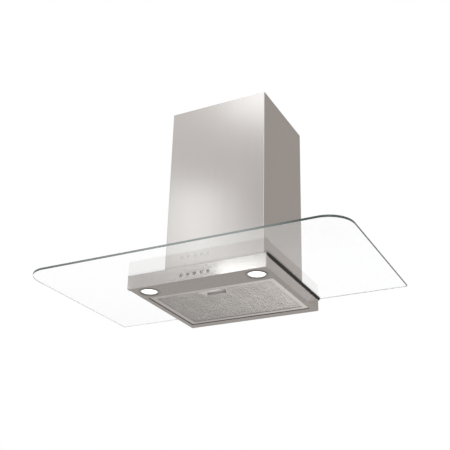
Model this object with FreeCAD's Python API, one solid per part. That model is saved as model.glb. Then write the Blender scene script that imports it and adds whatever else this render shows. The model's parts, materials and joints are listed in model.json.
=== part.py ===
import FreeCAD, Part
import math
import os

# Wall-mounted chimney range hood with a flat glass canopy. Millimetres.
# x runs to the right as the cook faces the hood, y runs into the wall, whose face is y = 0,
# and z is up from the glass's underside.

# Driving dimensions
GLASS_WIDTH = 900.0
GLASS_DEPTH = 493.0
GLASS_THICK = 6.0
GLASS_CORNER_R = 66.0

BODY_WIDTH = 402.0
BODY_FRONT = 364.0
BODY_BACK = 10.0
BODY_HEIGHT = 38.0
SHEET = 1.0
SEAL_THICK = 4.4

CHIMNEY_WIDTH = 298.0
CHIMNEY_FRONT = 266.0
CHIMNEY_BACK = 1.0
CHIMNEY_TOP = 545.0
CHIMNEY_SHEET = 0.8
UPPER_BOTTOM = 140.0
UPPER_GAP = 0.5
CHIMNEY_RETURN = 18.0

OPENING_HALF = 184.0
OPENING_FRONT = 284.0
OPENING_BACK = 38.0
FILTER_GAP = 1.5
FILTER_THICK = 9.0
FILTER_RECESS = 1.5
FILTER_BORDER = 14.0
MESH_SHEET = 0.4
FILTER_PIVOT_Y = -44.0
FILTER_PIVOT_R = 2.0

LAMP_X = 157.0
LAMP_Y = -323.0
LENS_R = 24.6
LENS_BORE = 23.6
LENS_LEVEL = 2.6
BEZEL_R = 29.5

BUTTON_PITCH = 19.4
BUTTON_COUNT = 5
BUTTON_R = 4.5
BUTTON_HOLE_R = 4.9
BUTTON_Z = -23.5
BUTTON_PROUD = 1.2

BOX_HALF = 118.0
BOX_FRONT = 236.0
BOX_TOP = 215.0
BACK_PLATE = 1.5
WALL_HOLE_X = 90.0
WALL_HOLE_LOW = 35.0
WALL_HOLE_HIGH = 185.0
WALL_HOLE_R = 4.0

COLLAR_Y = -150.0
COLLAR_R = 74.5
COLLAR_WALL = 2.0
COLLAR_HEIGHT = 47.0
FLAP_Z = BOX_TOP + 13.0
FLAP_OFFSET = 4.0
FLAP_R = 70.0

SCROLL_Y = -105.0
SCROLL_Z = 88.0
SCROLL_R = 96.0
SCROLL_STEP = 8.0
SCROLL_HALF = 56.0
SCROLL_WALL = 1.5
WHEEL_R = 67.5
WHEEL_HALF = 48.0
INLET_R = 61.0
BLADE_COUNT = 36
BLADE_INNER = 58.0
SHAFT_R = 4.0
MOTOR_R = 37.0

# Worked-out levels and faces
TOP_PLATE = -SEAL_THICK
BOTTOM = -BODY_HEIGHT
HALF_BODY = BODY_WIDTH / 2 - SHEET
FILTER_HALF = OPENING_HALF - FILTER_GAP
FILTER_FRONT = OPENING_FRONT - FILTER_GAP
FILTER_BACK = OPENING_BACK + FILTER_GAP
FILTER_BOTTOM = BOTTOM + FILTER_RECESS
FILTER_TOP = FILTER_BOTTOM + FILTER_THICK
FILTER_MID = (FILTER_BOTTOM + FILTER_TOP) / 2
FASCIA_BACK = -BODY_FRONT + SHEET

X_AXIS = FreeCAD.Vector(1, 0, 0)
Y_AXIS = FreeCAD.Vector(0, 1, 0)
Z_AXIS = FreeCAD.Vector(0, 0, 1)
ORIGIN = FreeCAD.Vector(0, 0, 0)


def at(x, y, z):
    """A point from its three coordinates."""
    return FreeCAD.Vector(x, y, z)


def block(x0, x1, y0, y1, z0, z1):
    """A box between two values on each axis."""
    return Part.makeBox(x1 - x0, y1 - y0, z1 - z0, at(x0, y0, z0))


def rod(radius, start, end):
    """A round bar between two points."""
    along = end - start
    return Part.makeCylinder(radius, along.Length, start, along)


def tube(outer, inner, start, end):
    """A round tube between two points."""
    return rod(outer, start, end).cut(rod(inner, start, end))


def turned(profile, centre):
    """A solid of revolution about the vertical through centre; profile is (radius, z) pairs."""
    points = [at(r, 0, z) for r, z in profile]
    face = Part.Face(Part.makePolygon(points + points[:1]))
    solid = face.revolve(ORIGIN, Z_AXIS, 360)
    solid.translate(centre)
    return solid


def slab(outline, z0, z1):
    """A flat plate with a polygon outline, given as (x, y) pairs."""
    points = [at(x, y, z0) for x, y in outline]
    face = Part.Face(Part.makePolygon(points + points[:1]))
    return face.extrude(at(0, 0, z1 - z0))


def rounded_slab(outline, radius, z0, z1):
    """A flat plate with a polygon outline whose upright edges are rounded."""
    plate = slab(outline, z0, z1)
    return rounded(plate, radius, upright_edges(plate))


def upright_edges(shape):
    """The straight edges that run along z."""
    return [e for e in shape.Edges if is_along(e, Z_AXIS)]


def is_along(edge, axis):
    """Whether a straight edge runs along an axis."""
    if edge.Curve.TypeId != "Part::GeomLine":
        return False
    return abs(abs(edge.Curve.Direction.dot(axis)) - 1) < 1e-6


def rounded(shape, radius, edges):
    """The shape with these edges rounded."""
    return shape.makeFillet(radius, edges)


def edges_where(shape, test):
    """The edges whose middle point passes the test."""
    return [e for e in shape.Edges if test(e.CenterOfMass)]


def mirrored(shape):
    """The same shape on the other side of the centre line."""
    return shape.mirror(ORIGIN, X_AXIS)


def both_sides(shape):
    """A shape and its mirror image as separate solids."""
    return Part.makeCompound([shape, mirrored(shape)])


def hex_nut(x, y, z0, z1, across, bore):
    """A hexagon nut on an upright axis."""
    corner = across / math.sqrt(3)
    angles = [math.radians(60 * k) for k in range(6)]
    outline = [(x + corner * math.cos(a), y + corner * math.sin(a)) for a in angles]
    return slab(outline, z0, z1).cut(rod(bore, at(x, y, z0), at(x, y, z1)))


def save(name, shape):
    """Write one sub-part."""
    shape.exportStep("parts/" + name + ".step")


# ---------------------------------------------------------------- glass and its fixings

NOTCH_HALF = 121.0
NOTCH_DEPTH = 240.0
CLAMP_INNER = 123.0
CLAMP_SCREW_X = 133.0
CLAMP_SCREW_Y = (-215.0, -45.0)
CLAMP_FRONT = -246.0
CLAMP_BACK = -12.0
CLAMP_SHEET = 2.0
CLAMP_TOP = 44.0
SCREW_HOLE_R = 2.7
GLASS_HOLE_R = 5.0
SEAL_WIDTH = 13.0
SEAL_BACK = 2.5
SEAL_LIP = 4.5
SEAL_LIP_THICK = 2.4
SEAL_LIP_FRONT = BODY_FRONT - 2.0
SEAL_LIP_BACK = 8.0
FOOT_SCREW_Z = 30.0
FOOT_SCREW_R = 2.0


def glass_outline():
    """The pane: two rounded front corners and a notch at the wall for the blower box."""
    half = GLASS_WIDTH / 2
    front = -GLASS_DEPTH
    r = GLASS_CORNER_R
    bend = r * (1 - math.sqrt(0.5))
    left_arc = Part.Arc(at(-half, front + r, 0), at(-half + bend, front + bend, 0), at(-half + r, front, 0))
    right_arc = Part.Arc(at(half - r, front, 0), at(half - bend, front + bend, 0), at(half, front + r, 0))
    corners = [
        at(half, front + r, 0),
        at(half, 0, 0),
        at(NOTCH_HALF, 0, 0),
        at(NOTCH_HALF, -NOTCH_DEPTH, 0),
        at(-NOTCH_HALF, -NOTCH_DEPTH, 0),
        at(-NOTCH_HALF, 0, 0),
        at(-half, 0, 0),
        at(-half, front + r, 0),
    ]
    edges = [Part.LineSegment(a, b).toShape() for a, b in zip(corners, corners[1:])]
    front_edge = Part.LineSegment(at(-half + r, front, 0), at(half - r, front, 0)).toShape()
    return Part.Wire([front_edge, right_arc.toShape()] + edges + [left_arc.toShape()])


def clamp_points():
    """Where the four glass screws stand, as (x, y) pairs."""
    return [(side * CLAMP_SCREW_X, y) for side in (-1, 1) for y in CLAMP_SCREW_Y]


def glass_canopy():
    """Toughened pane with ground edges."""
    arris = 0.7
    pane = Part.Face(glass_outline()).extrude(at(0, 0, GLASS_THICK))
    notch_corners = [
        e for e in upright_edges(pane)
        if abs(abs(e.CenterOfMass.x) - NOTCH_HALF) < 1e-6 and e.CenterOfMass.y < -1
    ]
    pane = rounded(pane, 10.0, notch_corners)
    rims = [e for e in pane.Edges if e.BoundBox.ZLength < 1e-6]
    pane = pane.makeChamfer(arris, rims)
    for x, y in clamp_points():
        pane = pane.cut(rod(GLASS_HOLE_R, at(x, y, -1), at(x, y, GLASS_THICK + 1)))
    return pane


def glass_gasket():
    """Black seal between the body's top and the pane, with a lip along both sides."""
    front = FASCIA_BACK + FASCIA_RETURN + 0.2
    side = HALF_BODY + SHEET
    outer = block(-side, side, front, -SEAL_BACK, TOP_PLATE, 0)
    inner = block(-HALF_BODY + SEAL_WIDTH, HALF_BODY - SEAL_WIDTH, front + SEAL_WIDTH, 0, TOP_PLATE - 1, 1)
    lip = block(side, side + SEAL_LIP, -SEAL_LIP_FRONT, -SEAL_LIP_BACK, -SEAL_LIP_THICK, 0)
    return outer.cut(inner).fuse([lip, mirrored(lip)]).removeSplitter()


def glass_spacers():
    """Washers that carry the pane where the screws pull on it."""
    return Part.makeCompound([
        tube(9.0, SCREW_HOLE_R, at(x, y, TOP_PLATE), at(x, y, 0)) for x, y in clamp_points()
    ])


def glass_bushes():
    """Nylon sleeves that keep the screws off the glass."""
    return Part.makeCompound([
        tube(GLASS_HOLE_R - 0.2, SCREW_HOLE_R, at(x, y, 0), at(x, y, GLASS_THICK)) for x, y in clamp_points()
    ])


def glass_clamp():
    """Right-hand angle bar that holds the glass down and carries the chimney's foot."""
    wall = CHIMNEY_WIDTH / 2 - CHIMNEY_SHEET
    bar = block(CLAMP_INNER, wall, CLAMP_FRONT, CLAMP_BACK, GLASS_THICK, GLASS_THICK + CLAMP_SHEET)
    leg = block(wall - CLAMP_SHEET, wall, CLAMP_FRONT, CLAMP_BACK, GLASS_THICK, CLAMP_TOP)
    shape = bar.fuse(leg).removeSplitter()
    z = FOOT_SCREW_Z
    for y in CLAMP_SCREW_Y:
        shape = shape.cut(rod(SCREW_HOLE_R, at(CLAMP_SCREW_X, y, 0), at(CLAMP_SCREW_X, y, 20)))
        shape = shape.cut(rod(FOOT_SCREW_R + 0.05, at(wall - 4, y, z), at(wall + 1, y, z)))
    return shape


def glass_screws():
    """Four pan-head screws through clamp bar, glass and the body's top plate."""
    top = GLASS_THICK + CLAMP_SHEET
    screws = []
    for x, y in clamp_points():
        head = turned([(0, top), (4.6, top), (4.6, top + 2.2), (3.6, top + 3.2), (0, top + 3.2)], at(x, y, 0))
        head = head.cut(block(x - 0.5, x + 0.5, y - 3, y + 3, top + 2.2, top + 4))
        screws.append(head.fuse(rod(2.5, at(x, y, -13), at(x, y, top))))
    return Part.makeCompound(screws)


def glass_nuts():
    """Nuts under the body's top plate."""
    low = TOP_PLATE - SHEET - 4
    return Part.makeCompound([
        hex_nut(x, y, low, TOP_PLATE - SHEET, 8.0, 2.52) for x, y in clamp_points()
    ])


# ---------------------------------------------------------------- body

INTAKE_HALF = 112.0
INTAKE_FRONT = -230.0
INTAKE_BACK = -16.0
LIP_TOP = BOTTOM + 8.0
FASCIA_RETURN = 13.0
FASCIA_SCREW_Y = FASCIA_BACK + 6.5
FASCIA_SCREW_Z = (-28.0, -12.0)
LAMP_HOLE_R = 27.9


def body_casing():
    """Folded casing: top plate, two sides, back, and the rim round the filter."""
    outer = block(-HALF_BODY, HALF_BODY, FASCIA_BACK, -BODY_BACK, BOTTOM, TOP_PLATE)
    outer = rounded(outer, 2.0, edges_where(outer, is_casing_fold))
    inner = block(-HALF_BODY + SHEET, HALF_BODY - SHEET, FASCIA_BACK - 5, -BODY_BACK - SHEET,
                  BOTTOM + SHEET, TOP_PLATE - SHEET)
    shell = outer.cut(inner)
    shell = shell.cut(block(-HALF_BODY + 1.5, HALF_BODY - 1.5, -400, -OPENING_FRONT, BOTTOM - 1, BOTTOM + 3))
    shell = shell.cut(block(-OPENING_HALF, OPENING_HALF, -OPENING_FRONT - 1, -OPENING_BACK,
                            BOTTOM - 1, BOTTOM + 3))
    shell = shell.cut(block(-INTAKE_HALF, INTAKE_HALF, INTAKE_FRONT, INTAKE_BACK, TOP_PLATE - 2, 0))
    lip = block(OPENING_HALF, OPENING_HALF + SHEET, -OPENING_FRONT, -62, BOTTOM + SHEET, LIP_TOP)
    shell = shell.fuse([lip, mirrored(lip)]).removeSplitter()
    for x, y in clamp_points():
        shell = shell.cut(rod(SCREW_HOLE_R, at(x, y, TOP_PLATE - 2), at(x, y, 0)))
    return shell.cut(fascia_screw_holes())


def is_casing_fold(point):
    """The folded edges: bottom of both sides and of the back, and the two back corners."""
    on_side = abs(abs(point.x) - HALF_BODY) < 1e-6
    on_back = abs(point.y + BODY_BACK) < 1e-6
    on_bottom = abs(point.z - BOTTOM) < 1e-6
    return (on_side and on_bottom) or (on_back and on_bottom) or (on_side and on_back)


def fascia():
    """Front panel with short returns over the sides and under the glass."""
    half = BODY_WIDTH / 2
    back = FASCIA_BACK + FASCIA_RETURN
    outer = block(-half, half, -BODY_FRONT, back, BOTTOM, 0)
    outer = rounded(outer, 1.4, edges_where(outer, is_fascia_fold))
    inner = block(-HALF_BODY, HALF_BODY, FASCIA_BACK, back + 1, BOTTOM - 1, -SHEET)
    panel = outer.cut(inner)
    front = -BODY_FRONT - 1
    for x in button_places():
        panel = panel.cut(rod(BUTTON_HOLE_R, at(x, front, BUTTON_Z), at(x, FASCIA_BACK + 1, BUTTON_Z)))
    return panel.cut(fascia_screw_holes())


def is_fascia_fold(point):
    """The front panel's four outer edges."""
    on_front = abs(point.y + BODY_FRONT) < 1e-6
    return on_front and (abs(point.x) > 1 or abs(point.z - BOTTOM) < 1e-6 or abs(point.z) < 1e-6)


def lamp_panel():
    """Strip under the front that holds both lamps, turned up along its long edges."""
    half = HALF_BODY - 1.6
    back = -OPENING_FRONT
    sheet = block(-half, half, FASCIA_BACK, back, BOTTOM, BOTTOM + SHEET)
    front_lip = block(-half, half, FASCIA_BACK, FASCIA_BACK + SHEET, BOTTOM, BOTTOM + 6)
    rear_lip = block(-half, half, back - SHEET, back, BOTTOM, LIP_TOP + 1)
    panel = sheet.fuse([front_lip, rear_lip]).removeSplitter()
    panel = rounded(panel, 0.8, edges_where(panel, is_lamp_panel_step))
    for x in (-LAMP_X, LAMP_X):
        panel = panel.cut(rod(LAMP_HOLE_R, at(x, LAMP_Y, BOTTOM - 1), at(x, LAMP_Y, BOTTOM + 5)))
    return panel


def is_lamp_panel_step(point):
    """The bottom edge beside the filter."""
    return abs(point.y + OPENING_FRONT) < 1e-6 and abs(point.z - BOTTOM) < 1e-6


def fascia_screws():
    """Four screws from inside the casing's sides into the fascia's side returns."""
    screws = []
    y = FASCIA_SCREW_Y
    inside = HALF_BODY - SHEET
    for z in FASCIA_SCREW_Z:
        head = rod(3.4, at(inside - 2.2, y, z), at(inside, y, z))
        shank = rod(1.7, at(inside, y, z), at(HALF_BODY + 0.5, y, z))
        screws.append(head.fuse(shank))
    return Part.makeCompound(screws + [mirrored(screw) for screw in screws])


def fascia_screw_holes():
    """The space of the four fascia screws, right through both sheets' inner layers."""
    half = HALF_BODY + 0.5
    holes = [rod(1.75, at(-half, FASCIA_SCREW_Y, z), at(half, FASCIA_SCREW_Y, z)) for z in FASCIA_SCREW_Z]
    return holes[0].fuse(holes[1:])


# ---------------------------------------------------------------- lamps

def lamp_bezel(x):
    """Trim ring that clips into the lamp panel, with a ledge that the lens lies on."""
    z = BOTTOM
    ledge = z + LENS_LEVEL
    profile = [
        (24.4, z - 1.0), (24.9, z - 1.4), (28.4, z - 1.4), (BEZEL_R, z - 0.6), (BEZEL_R, z),
        (27.8, z), (27.8, z + 12), (26.3, z + 12), (26.3, ledge), (LENS_BORE, ledge),
        (LENS_BORE, ledge - 0.8), (24.2, z + 0.6),
    ]
    return turned(profile, at(x, LAMP_Y, 0))


def lamp_lens(x):
    """Frosted glass disc on the ring's ledge, a little domed."""
    z = BOTTOM + LENS_LEVEL
    profile = [
        (0, z - 0.7), (8, z - 0.65), (15, z - 0.45), (20, z - 0.2), (LENS_BORE - 0.2, z),
        (LENS_R, z), (LENS_R, z + 1.6), (0, z + 1.6),
    ]
    return turned(profile, at(x, LAMP_Y, 0))


def lamp_cup(x):
    """Pressed reflector cup behind the lens."""
    z = BOTTOM + 2.6
    profile = [
        (25.9, z), (25.9, z + 14), (20, z + 22), (9, z + 22), (9, z + 21), (19.4, z + 21),
        (24.9, z + 13.6), (24.9, z),
    ]
    return turned(profile, at(x, LAMP_Y, 0))


def lamp_socket(x):
    """Ceramic lamp socket in the cup's crown."""
    z = BOTTOM + 2.6
    body = rod(8.9, at(x, LAMP_Y, z + 17), at(x, LAMP_Y, z + 26))
    rim = rod(11.0, at(x, LAMP_Y, z + 22), at(x, LAMP_Y, z + 23))
    return body.fuse(rim)


def lamp_capsule(x):
    """Low-voltage halogen capsule."""
    z = BOTTOM + 3.4
    pinch = block(x - 3, x + 3, LAMP_Y - 1.5, LAMP_Y + 1.5, z + 12.5, z + 16.2)
    bulb = rod(4.5, at(x, LAMP_Y, z + 6), at(x, LAMP_Y, z + 13))
    tip = Part.makeSphere(4.5, at(x, LAMP_Y, z + 6), Z_AXIS, -90, 0, 360)
    return bulb.fuse([tip, pinch])


def lamp_transformer():
    """Electronic transformer for the lamps, on the underside of the top plate."""
    body = block(-120, -62, -352, -316, -29, TOP_PLATE - SHEET)
    ear = block(-126, -56, -342, -326, TOP_PLATE - SHEET - 2, TOP_PLATE - SHEET)
    shape = body.fuse(ear).removeSplitter()
    return shape.cut(block(-110, -72, -353, -350.5, -26, -12))


# ---------------------------------------------------------------- controls

def button_places():
    """Where the push buttons stand along x."""
    middle = (BUTTON_COUNT - 1) / 2
    return [(k - middle) * BUTTON_PITCH for k in range(BUTTON_COUNT)]


def push_button(x):
    """Button cap with a retaining flange and a stem towards its switch."""
    face = -BODY_FRONT - BUTTON_PROUD
    cap = rod(BUTTON_R, at(x, face, BUTTON_Z), at(x, FASCIA_BACK + 0.4, BUTTON_Z))
    cap = rounded(cap, 0.5, edges_where(cap, lambda p: abs(p.y - face) < 1e-6))
    cap = cap.cut(rod(1.6, at(x, face - 1, BUTTON_Z), at(x, face + 0.3, BUTTON_Z)))
    flange = rod(BUTTON_R + 1.0, at(x, FASCIA_BACK + 0.4, BUTTON_Z), at(x, FASCIA_BACK + 1.6, BUTTON_Z))
    stem = rod(2.4, at(x, FASCIA_BACK + 1.6, BUTTON_Z), at(x, FASCIA_BACK + 9.25, BUTTON_Z))
    return cap.fuse([flange, stem])


def button_carrier():
    """Moulded guide plate behind the fascia."""
    plate = block(-56, 56, FASCIA_BACK + 4.5, FASCIA_BACK + 6.5, -34, -8)
    for x in button_places():
        plate = plate.cut(rod(2.5, at(x, -400, BUTTON_Z), at(x, -300, BUTTON_Z)))
    post = block(50, 56, FASCIA_BACK, FASCIA_BACK + 12.4, -31, -8)
    return plate.fuse([post, mirrored(post)]).removeSplitter()


def control_board():
    """Circuit board behind the buttons."""
    front = FASCIA_BACK + 12.4
    return block(-56, 56, front, front + 1.6, -33, -8)


def button_switches():
    """Tactile switches on the board, one behind each button."""
    back = FASCIA_BACK + 12.4
    switches = []
    for x in button_places():
        body = block(x - 3, x + 3, back - 1.2, back, BUTTON_Z - 3, BUTTON_Z + 3)
        dome = rod(1.7, at(x, back - 1.6, BUTTON_Z), at(x, back - 1.2, BUTTON_Z))
        switches.append(body.fuse(dome))
    return Part.makeCompound(switches)


def board_relays():
    """Speed relays and the plug socket on the back of the board."""
    front = FASCIA_BACK + 14.0
    relays = [block(x, x + 15, front, front + 12, -30, -11) for x in (-44.0, -24.0, -4.0)]
    socket = block(22, 48, front, front + 9, -22, -13)
    return Part.makeCompound(relays + [socket])


# ---------------------------------------------------------------- grease filter

CUP_FRONT_HALF = 43.0
CUP_BACK_HALF = 30.5
CUP_FRONT = -270.0
CUP_BACK = -234.5
CUP_WALL = 2.0
CORE_FOLDS = 40
CORE_FLAT = 1.5
CORE_THICK = 0.6
LATCH_LOW = -32.0
LATCH_HIGH = -30.2
LATCH_SLOT = 0.4
SPRING_X = 21.0
SPRING_R = 1.0
SPRING_WIRE = 0.3
SPRING_TURNS = 9


def cup_outline(grow):
    """The handle recess seen from below: wide at the front, narrower inside."""
    return [
        (-CUP_FRONT_HALF - grow, CUP_FRONT - grow),
        (CUP_FRONT_HALF + grow, CUP_FRONT - grow),
        (CUP_BACK_HALF + grow, CUP_BACK + grow),
        (-CUP_BACK_HALF - grow, CUP_BACK + grow),
    ]


def filter_frame():
    """Rolled channel frame round the mesh, open through the middle."""
    outer = block(-FILTER_HALF, FILTER_HALF, -FILTER_FRONT, -FILTER_BACK, FILTER_BOTTOM, FILTER_TOP)
    outer = rounded(outer, 3.0, upright_edges(outer))
    channel = block(-FILTER_HALF + 1, FILTER_HALF - 1, -FILTER_FRONT + 1, -FILTER_BACK - 1,
                    FILTER_BOTTOM + 1, FILTER_TOP - 1)
    window = block(-FILTER_HALF + FILTER_BORDER, FILTER_HALF - FILTER_BORDER,
                   -FILTER_FRONT + FILTER_BORDER, -FILTER_BACK - FILTER_BORDER,
                   FILTER_BOTTOM - 1, FILTER_TOP + 1)
    frame = outer.cut(channel.fuse(window))
    frame = frame.cut(slab(cup_outline(0.2), FILTER_BOTTOM - 1, FILTER_BOTTOM + 1.5))
    return frame.cut(latch_slot(12.4, -FILTER_FRONT))


def latch_slot(half, front):
    """The space of a slot that the latch slides through."""
    return block(-half, half, front - 1, front + 3, LATCH_LOW - LATCH_SLOT, LATCH_HIGH + LATCH_SLOT)


def recess_space(z0, z1):
    """The space that the handle recess and the latch take out of the mesh."""
    recess = slab(cup_outline(0.2), z0 - 1, z1 + 1)
    return recess.fuse(block(-27, 27, -FILTER_FRONT, CUP_FRONT + 1, z0 - 1, z1 + 1))


def mesh_sheet(z0):
    """One flat outer sheet of the mesh pack."""
    z1 = z0 + MESH_SHEET
    sheet = block(-FILTER_HALF + 1, FILTER_HALF - 1, -FILTER_FRONT + 1, -FILTER_BACK - 1, z0, z1)
    return sheet.cut(recess_space(z0, z1))


def mesh_core():
    """The corrugated layer between the two sheets, with its folds running front to back."""
    low = FILTER_BOTTOM + 1 + MESH_SHEET
    rise = FILTER_TOP - 1 - MESH_SHEET - low - CORE_THICK
    start = -FILTER_HALF + 1
    pitch = -2 * start / CORE_FOLDS
    line = []
    for k in range(CORE_FOLDS):
        x = start + k * pitch
        slope = pitch / 2 - CORE_FLAT
        line += [(x, low), (x + CORE_FLAT, low)]
        line += [(x + CORE_FLAT + slope, low + rise), (x + pitch - slope, low + rise)]
    line += [(-start, low)]
    points = [at(x, -FILTER_FRONT + 1, z) for x, z in line]
    points += [at(x, -FILTER_FRONT + 1, z + CORE_THICK) for x, z in reversed(line)]
    face = Part.Face(Part.makePolygon(points + points[:1]))
    core = face.extrude(at(0, FILTER_FRONT - FILTER_BACK - 2, 0))
    return core.cut(recess_space(FILTER_BOTTOM, FILTER_TOP))


def filter_handle():
    """Moulded finger recess with a rim, a floor and a slot for the latch."""
    rim = rounded_slab(cup_outline(0), 4.0, FILTER_BOTTOM - 0.6, FILTER_BOTTOM + 1)
    cup = rounded_slab(cup_outline(0), 4.0, FILTER_BOTTOM + 1, FILTER_TOP - 1.0)
    hollow = rounded_slab(cup_outline(-CUP_WALL), 3.0, FILTER_BOTTOM - 2, FILTER_TOP - 2.0)
    shape = rim.fuse(cup).removeSplitter().cut(hollow)
    return shape.cut(latch_slot(24.6, CUP_FRONT))


def filter_latch():
    """Sprung latch: tongue through the frame's front, wings, and a finger tab in the recess."""
    tongue = block(-12, 12, -OPENING_FRONT + 0.4, CUP_FRONT + 4, LATCH_LOW, LATCH_HIGH)
    wings = block(-24, 24, CUP_FRONT + 4, CUP_FRONT + 8, LATCH_LOW, LATCH_HIGH)
    tab = block(-19, 19, CUP_FRONT + 5.5, CUP_FRONT + 8, FILTER_BOTTOM + 0.4, LATCH_LOW)
    tab = rounded(tab, 1.0, edges_where(tab, is_tab_edge))
    return tongue.fuse([wings, tab]).removeSplitter()


def is_tab_edge(point):
    """The finger tab's two long lower edges."""
    return abs(point.z - FILTER_BOTTOM - 0.4) < 1e-6 and abs(point.x) < 1


def latch_springs():
    """Two return springs between the latch's wings and the back of the recess, as coils."""
    start = CUP_FRONT + 8.0 + SPRING_WIRE
    travel = CUP_BACK - CUP_WALL - SPRING_WIRE - start
    coils = []
    for x in (-SPRING_X, SPRING_X):
        helix = Part.makeHelix(travel / SPRING_TURNS, travel, SPRING_R)
        helix.rotate(ORIGIN, X_AXIS, -90)
        helix.translate(at(x, start, (LATCH_LOW + LATCH_HIGH) / 2))
        first = helix.Edges[0]
        section = Part.Wire(Part.makeCircle(SPRING_WIRE, first.valueAt(first.FirstParameter),
                                            first.tangentAt(first.FirstParameter)))
        coils.append(Part.Wire(helix.Edges).makePipeShell([section], True, True))
    return Part.makeCompound(coils)


def filter_pivots():
    """Two pivot pins at the filter's rear corners."""
    centre = (FILTER_PIVOT_Y, FILTER_MID)
    pin = rod(FILTER_PIVOT_R, at(FILTER_HALF, *centre), at(FILTER_HALF + 7, *centre))
    return both_sides(pin)


def pivot_brackets():
    """Two small angle brackets on the rim that carry the filter's pivots."""
    x = OPENING_HALF + 2.0
    y = FILTER_PIVOT_Y
    low = BOTTOM + SHEET
    upright = block(x, x + 2, y - 7, y + 7, low, FILTER_MID + 7)
    foot = block(x, x + 12, y - 7, y + 7, low, low + 1.5)
    bracket = upright.fuse(foot).removeSplitter()
    bore = rod(FILTER_PIVOT_R + 0.06, at(x - 1, y, FILTER_MID), at(x + 3, y, FILTER_MID))
    return both_sides(bracket.cut(bore))


# ---------------------------------------------------------------- blower box and wall plate

def wall_holes(y0, y1):
    """The four holes for the wall screws, as round bars to cut with."""
    return [
        rod(WALL_HOLE_R, at(x, y0, z), at(x, y1, z))
        for x in (-WALL_HOLE_X, WALL_HOLE_X) for z in (WALL_HOLE_LOW, WALL_HOLE_HIGH)
    ]


def back_plate():
    """Plate against the wall that carries the whole hood."""
    plate = block(-112, 112, -BACK_PLATE, 0, TOP_PLATE + 1.2, BOX_TOP - 3)
    plate = rounded(plate, 6.0, [e for e in plate.Edges if is_along(e, Y_AXIS)])
    return plate.cut(wall_holes(-5, 1)[0].fuse(wall_holes(-5, 1)[1:]))


def blower_box():
    """Galvanised box round the fan, open below, flanged onto the body's top plate."""
    back = -BACK_PLATE
    outer = block(-BOX_HALF, BOX_HALF, -BOX_FRONT, back, TOP_PLATE, BOX_TOP)
    outer = rounded(outer, 2.0, upright_edges(outer))
    inner = block(-BOX_HALF + 1, BOX_HALF - 1, -BOX_FRONT + 1, back - 1, TOP_PLATE - 1, BOX_TOP - 1)
    box = outer.cut(inner)
    flange = block(-BOX_HALF - 12, BOX_HALF + 12, -BOX_FRONT - 12, -14, TOP_PLATE, TOP_PLATE + 1)
    hole = block(-INTAKE_HALF - 5, INTAKE_HALF + 5, -BOX_FRONT + 1, 0, TOP_PLATE - 1, TOP_PLATE + 2)
    box = box.fuse(flange.cut(hole)).removeSplitter()
    box = box.cut(rod(COLLAR_R - COLLAR_WALL, at(0, COLLAR_Y, BOX_TOP - 3), at(0, COLLAR_Y, BOX_TOP + 3)))
    for x, y in clamp_points():
        box = box.cut(rod(9.4, at(x, y, TOP_PLATE - 1), at(x, y, TOP_PLATE + 2)))
    for hole in wall_holes(-5, 1):
        box = box.cut(hole)
    return box


def outlet_collar():
    """Outlet spigot for 150 mm duct, with a stop ledge and bearings for the two flaps."""
    base = BOX_TOP
    top = base + COLLAR_HEIGHT
    bore = COLLAR_R - COLLAR_WALL
    profile = [
        (bore - 3, base + 8.4), (bore, base + 8.4), (bore, base), (84, base), (84, base + 2.5),
        (COLLAR_R, base + 2.5), (COLLAR_R, top - 1), (COLLAR_R - 1, top), (bore, top),
        (bore, base + 10.4), (bore - 3, base + 10.4),
    ]
    collar = turned(profile, at(0, COLLAR_Y, 0))
    for side in (-1, 1):
        boss = block(min(side * 69, side * 73), max(side * 69, side * 73), COLLAR_Y - 7.6, COLLAR_Y + 7.6,
                     base + 8.4, FLAP_Z + 3.6)
        collar = collar.fuse(boss)
    for offset in (-FLAP_OFFSET, FLAP_OFFSET):
        y = COLLAR_Y + offset
        collar = collar.cut(rod(1.58, at(-71.8, y, FLAP_Z), at(71.8, y, FLAP_Z)))
    return collar.removeSplitter()


def damper_flap(side):
    """Half-round non-return flap with its own pivot pins; side is -1 at the front, 1 behind."""
    y = COLLAR_Y + side * FLAP_OFFSET
    disc = rod(FLAP_R, at(0, COLLAR_Y, FLAP_Z - 0.6), at(0, COLLAR_Y, FLAP_Z + 0.6))
    if side < 0:
        keep = block(-80, 80, COLLAR_Y - 80, y, FLAP_Z - 2, FLAP_Z + 2)
    else:
        keep = block(-80, 80, y, COLLAR_Y + 80, FLAP_Z - 2, FLAP_Z + 2)
    leaf = disc.common(keep)
    clear = block(-80, -67.4, y - 12, y + 12, FLAP_Z - 2, FLAP_Z + 2)
    leaf = leaf.cut(clear.fuse(mirrored(clear)))
    knuckle = rod(2.4, at(-67.4, y, FLAP_Z), at(67.4, y, FLAP_Z))
    pin = rod(1.5, at(-71.5, y, FLAP_Z), at(71.5, y, FLAP_Z))
    return leaf.fuse([knuckle, pin]).removeSplitter()


def terminal_box():
    """Connection box with its lid joint, beside the outlet."""
    body = block(34, 108, -56, -10, BOX_TOP, BOX_TOP + 34)
    body = rounded(body, 3.0, upright_edges(body))
    inner = block(36, 106, -54, -12, BOX_TOP + 2, BOX_TOP + 32)
    body = body.cut(inner)
    return body.cut(rod(8.1, at(94, -33, BOX_TOP + 30), at(94, -33, BOX_TOP + 40)))


def terminal_block():
    """Three-way screw terminal in the connection box."""
    z = BOX_TOP + 2
    body = block(44, 80, -42, -24, z, z + 14)
    for x in (50.0, 62.0, 74.0):
        body = body.cut(rod(2.6, at(x, -33, z + 9), at(x, -33, z + 15)))
    return body


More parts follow.
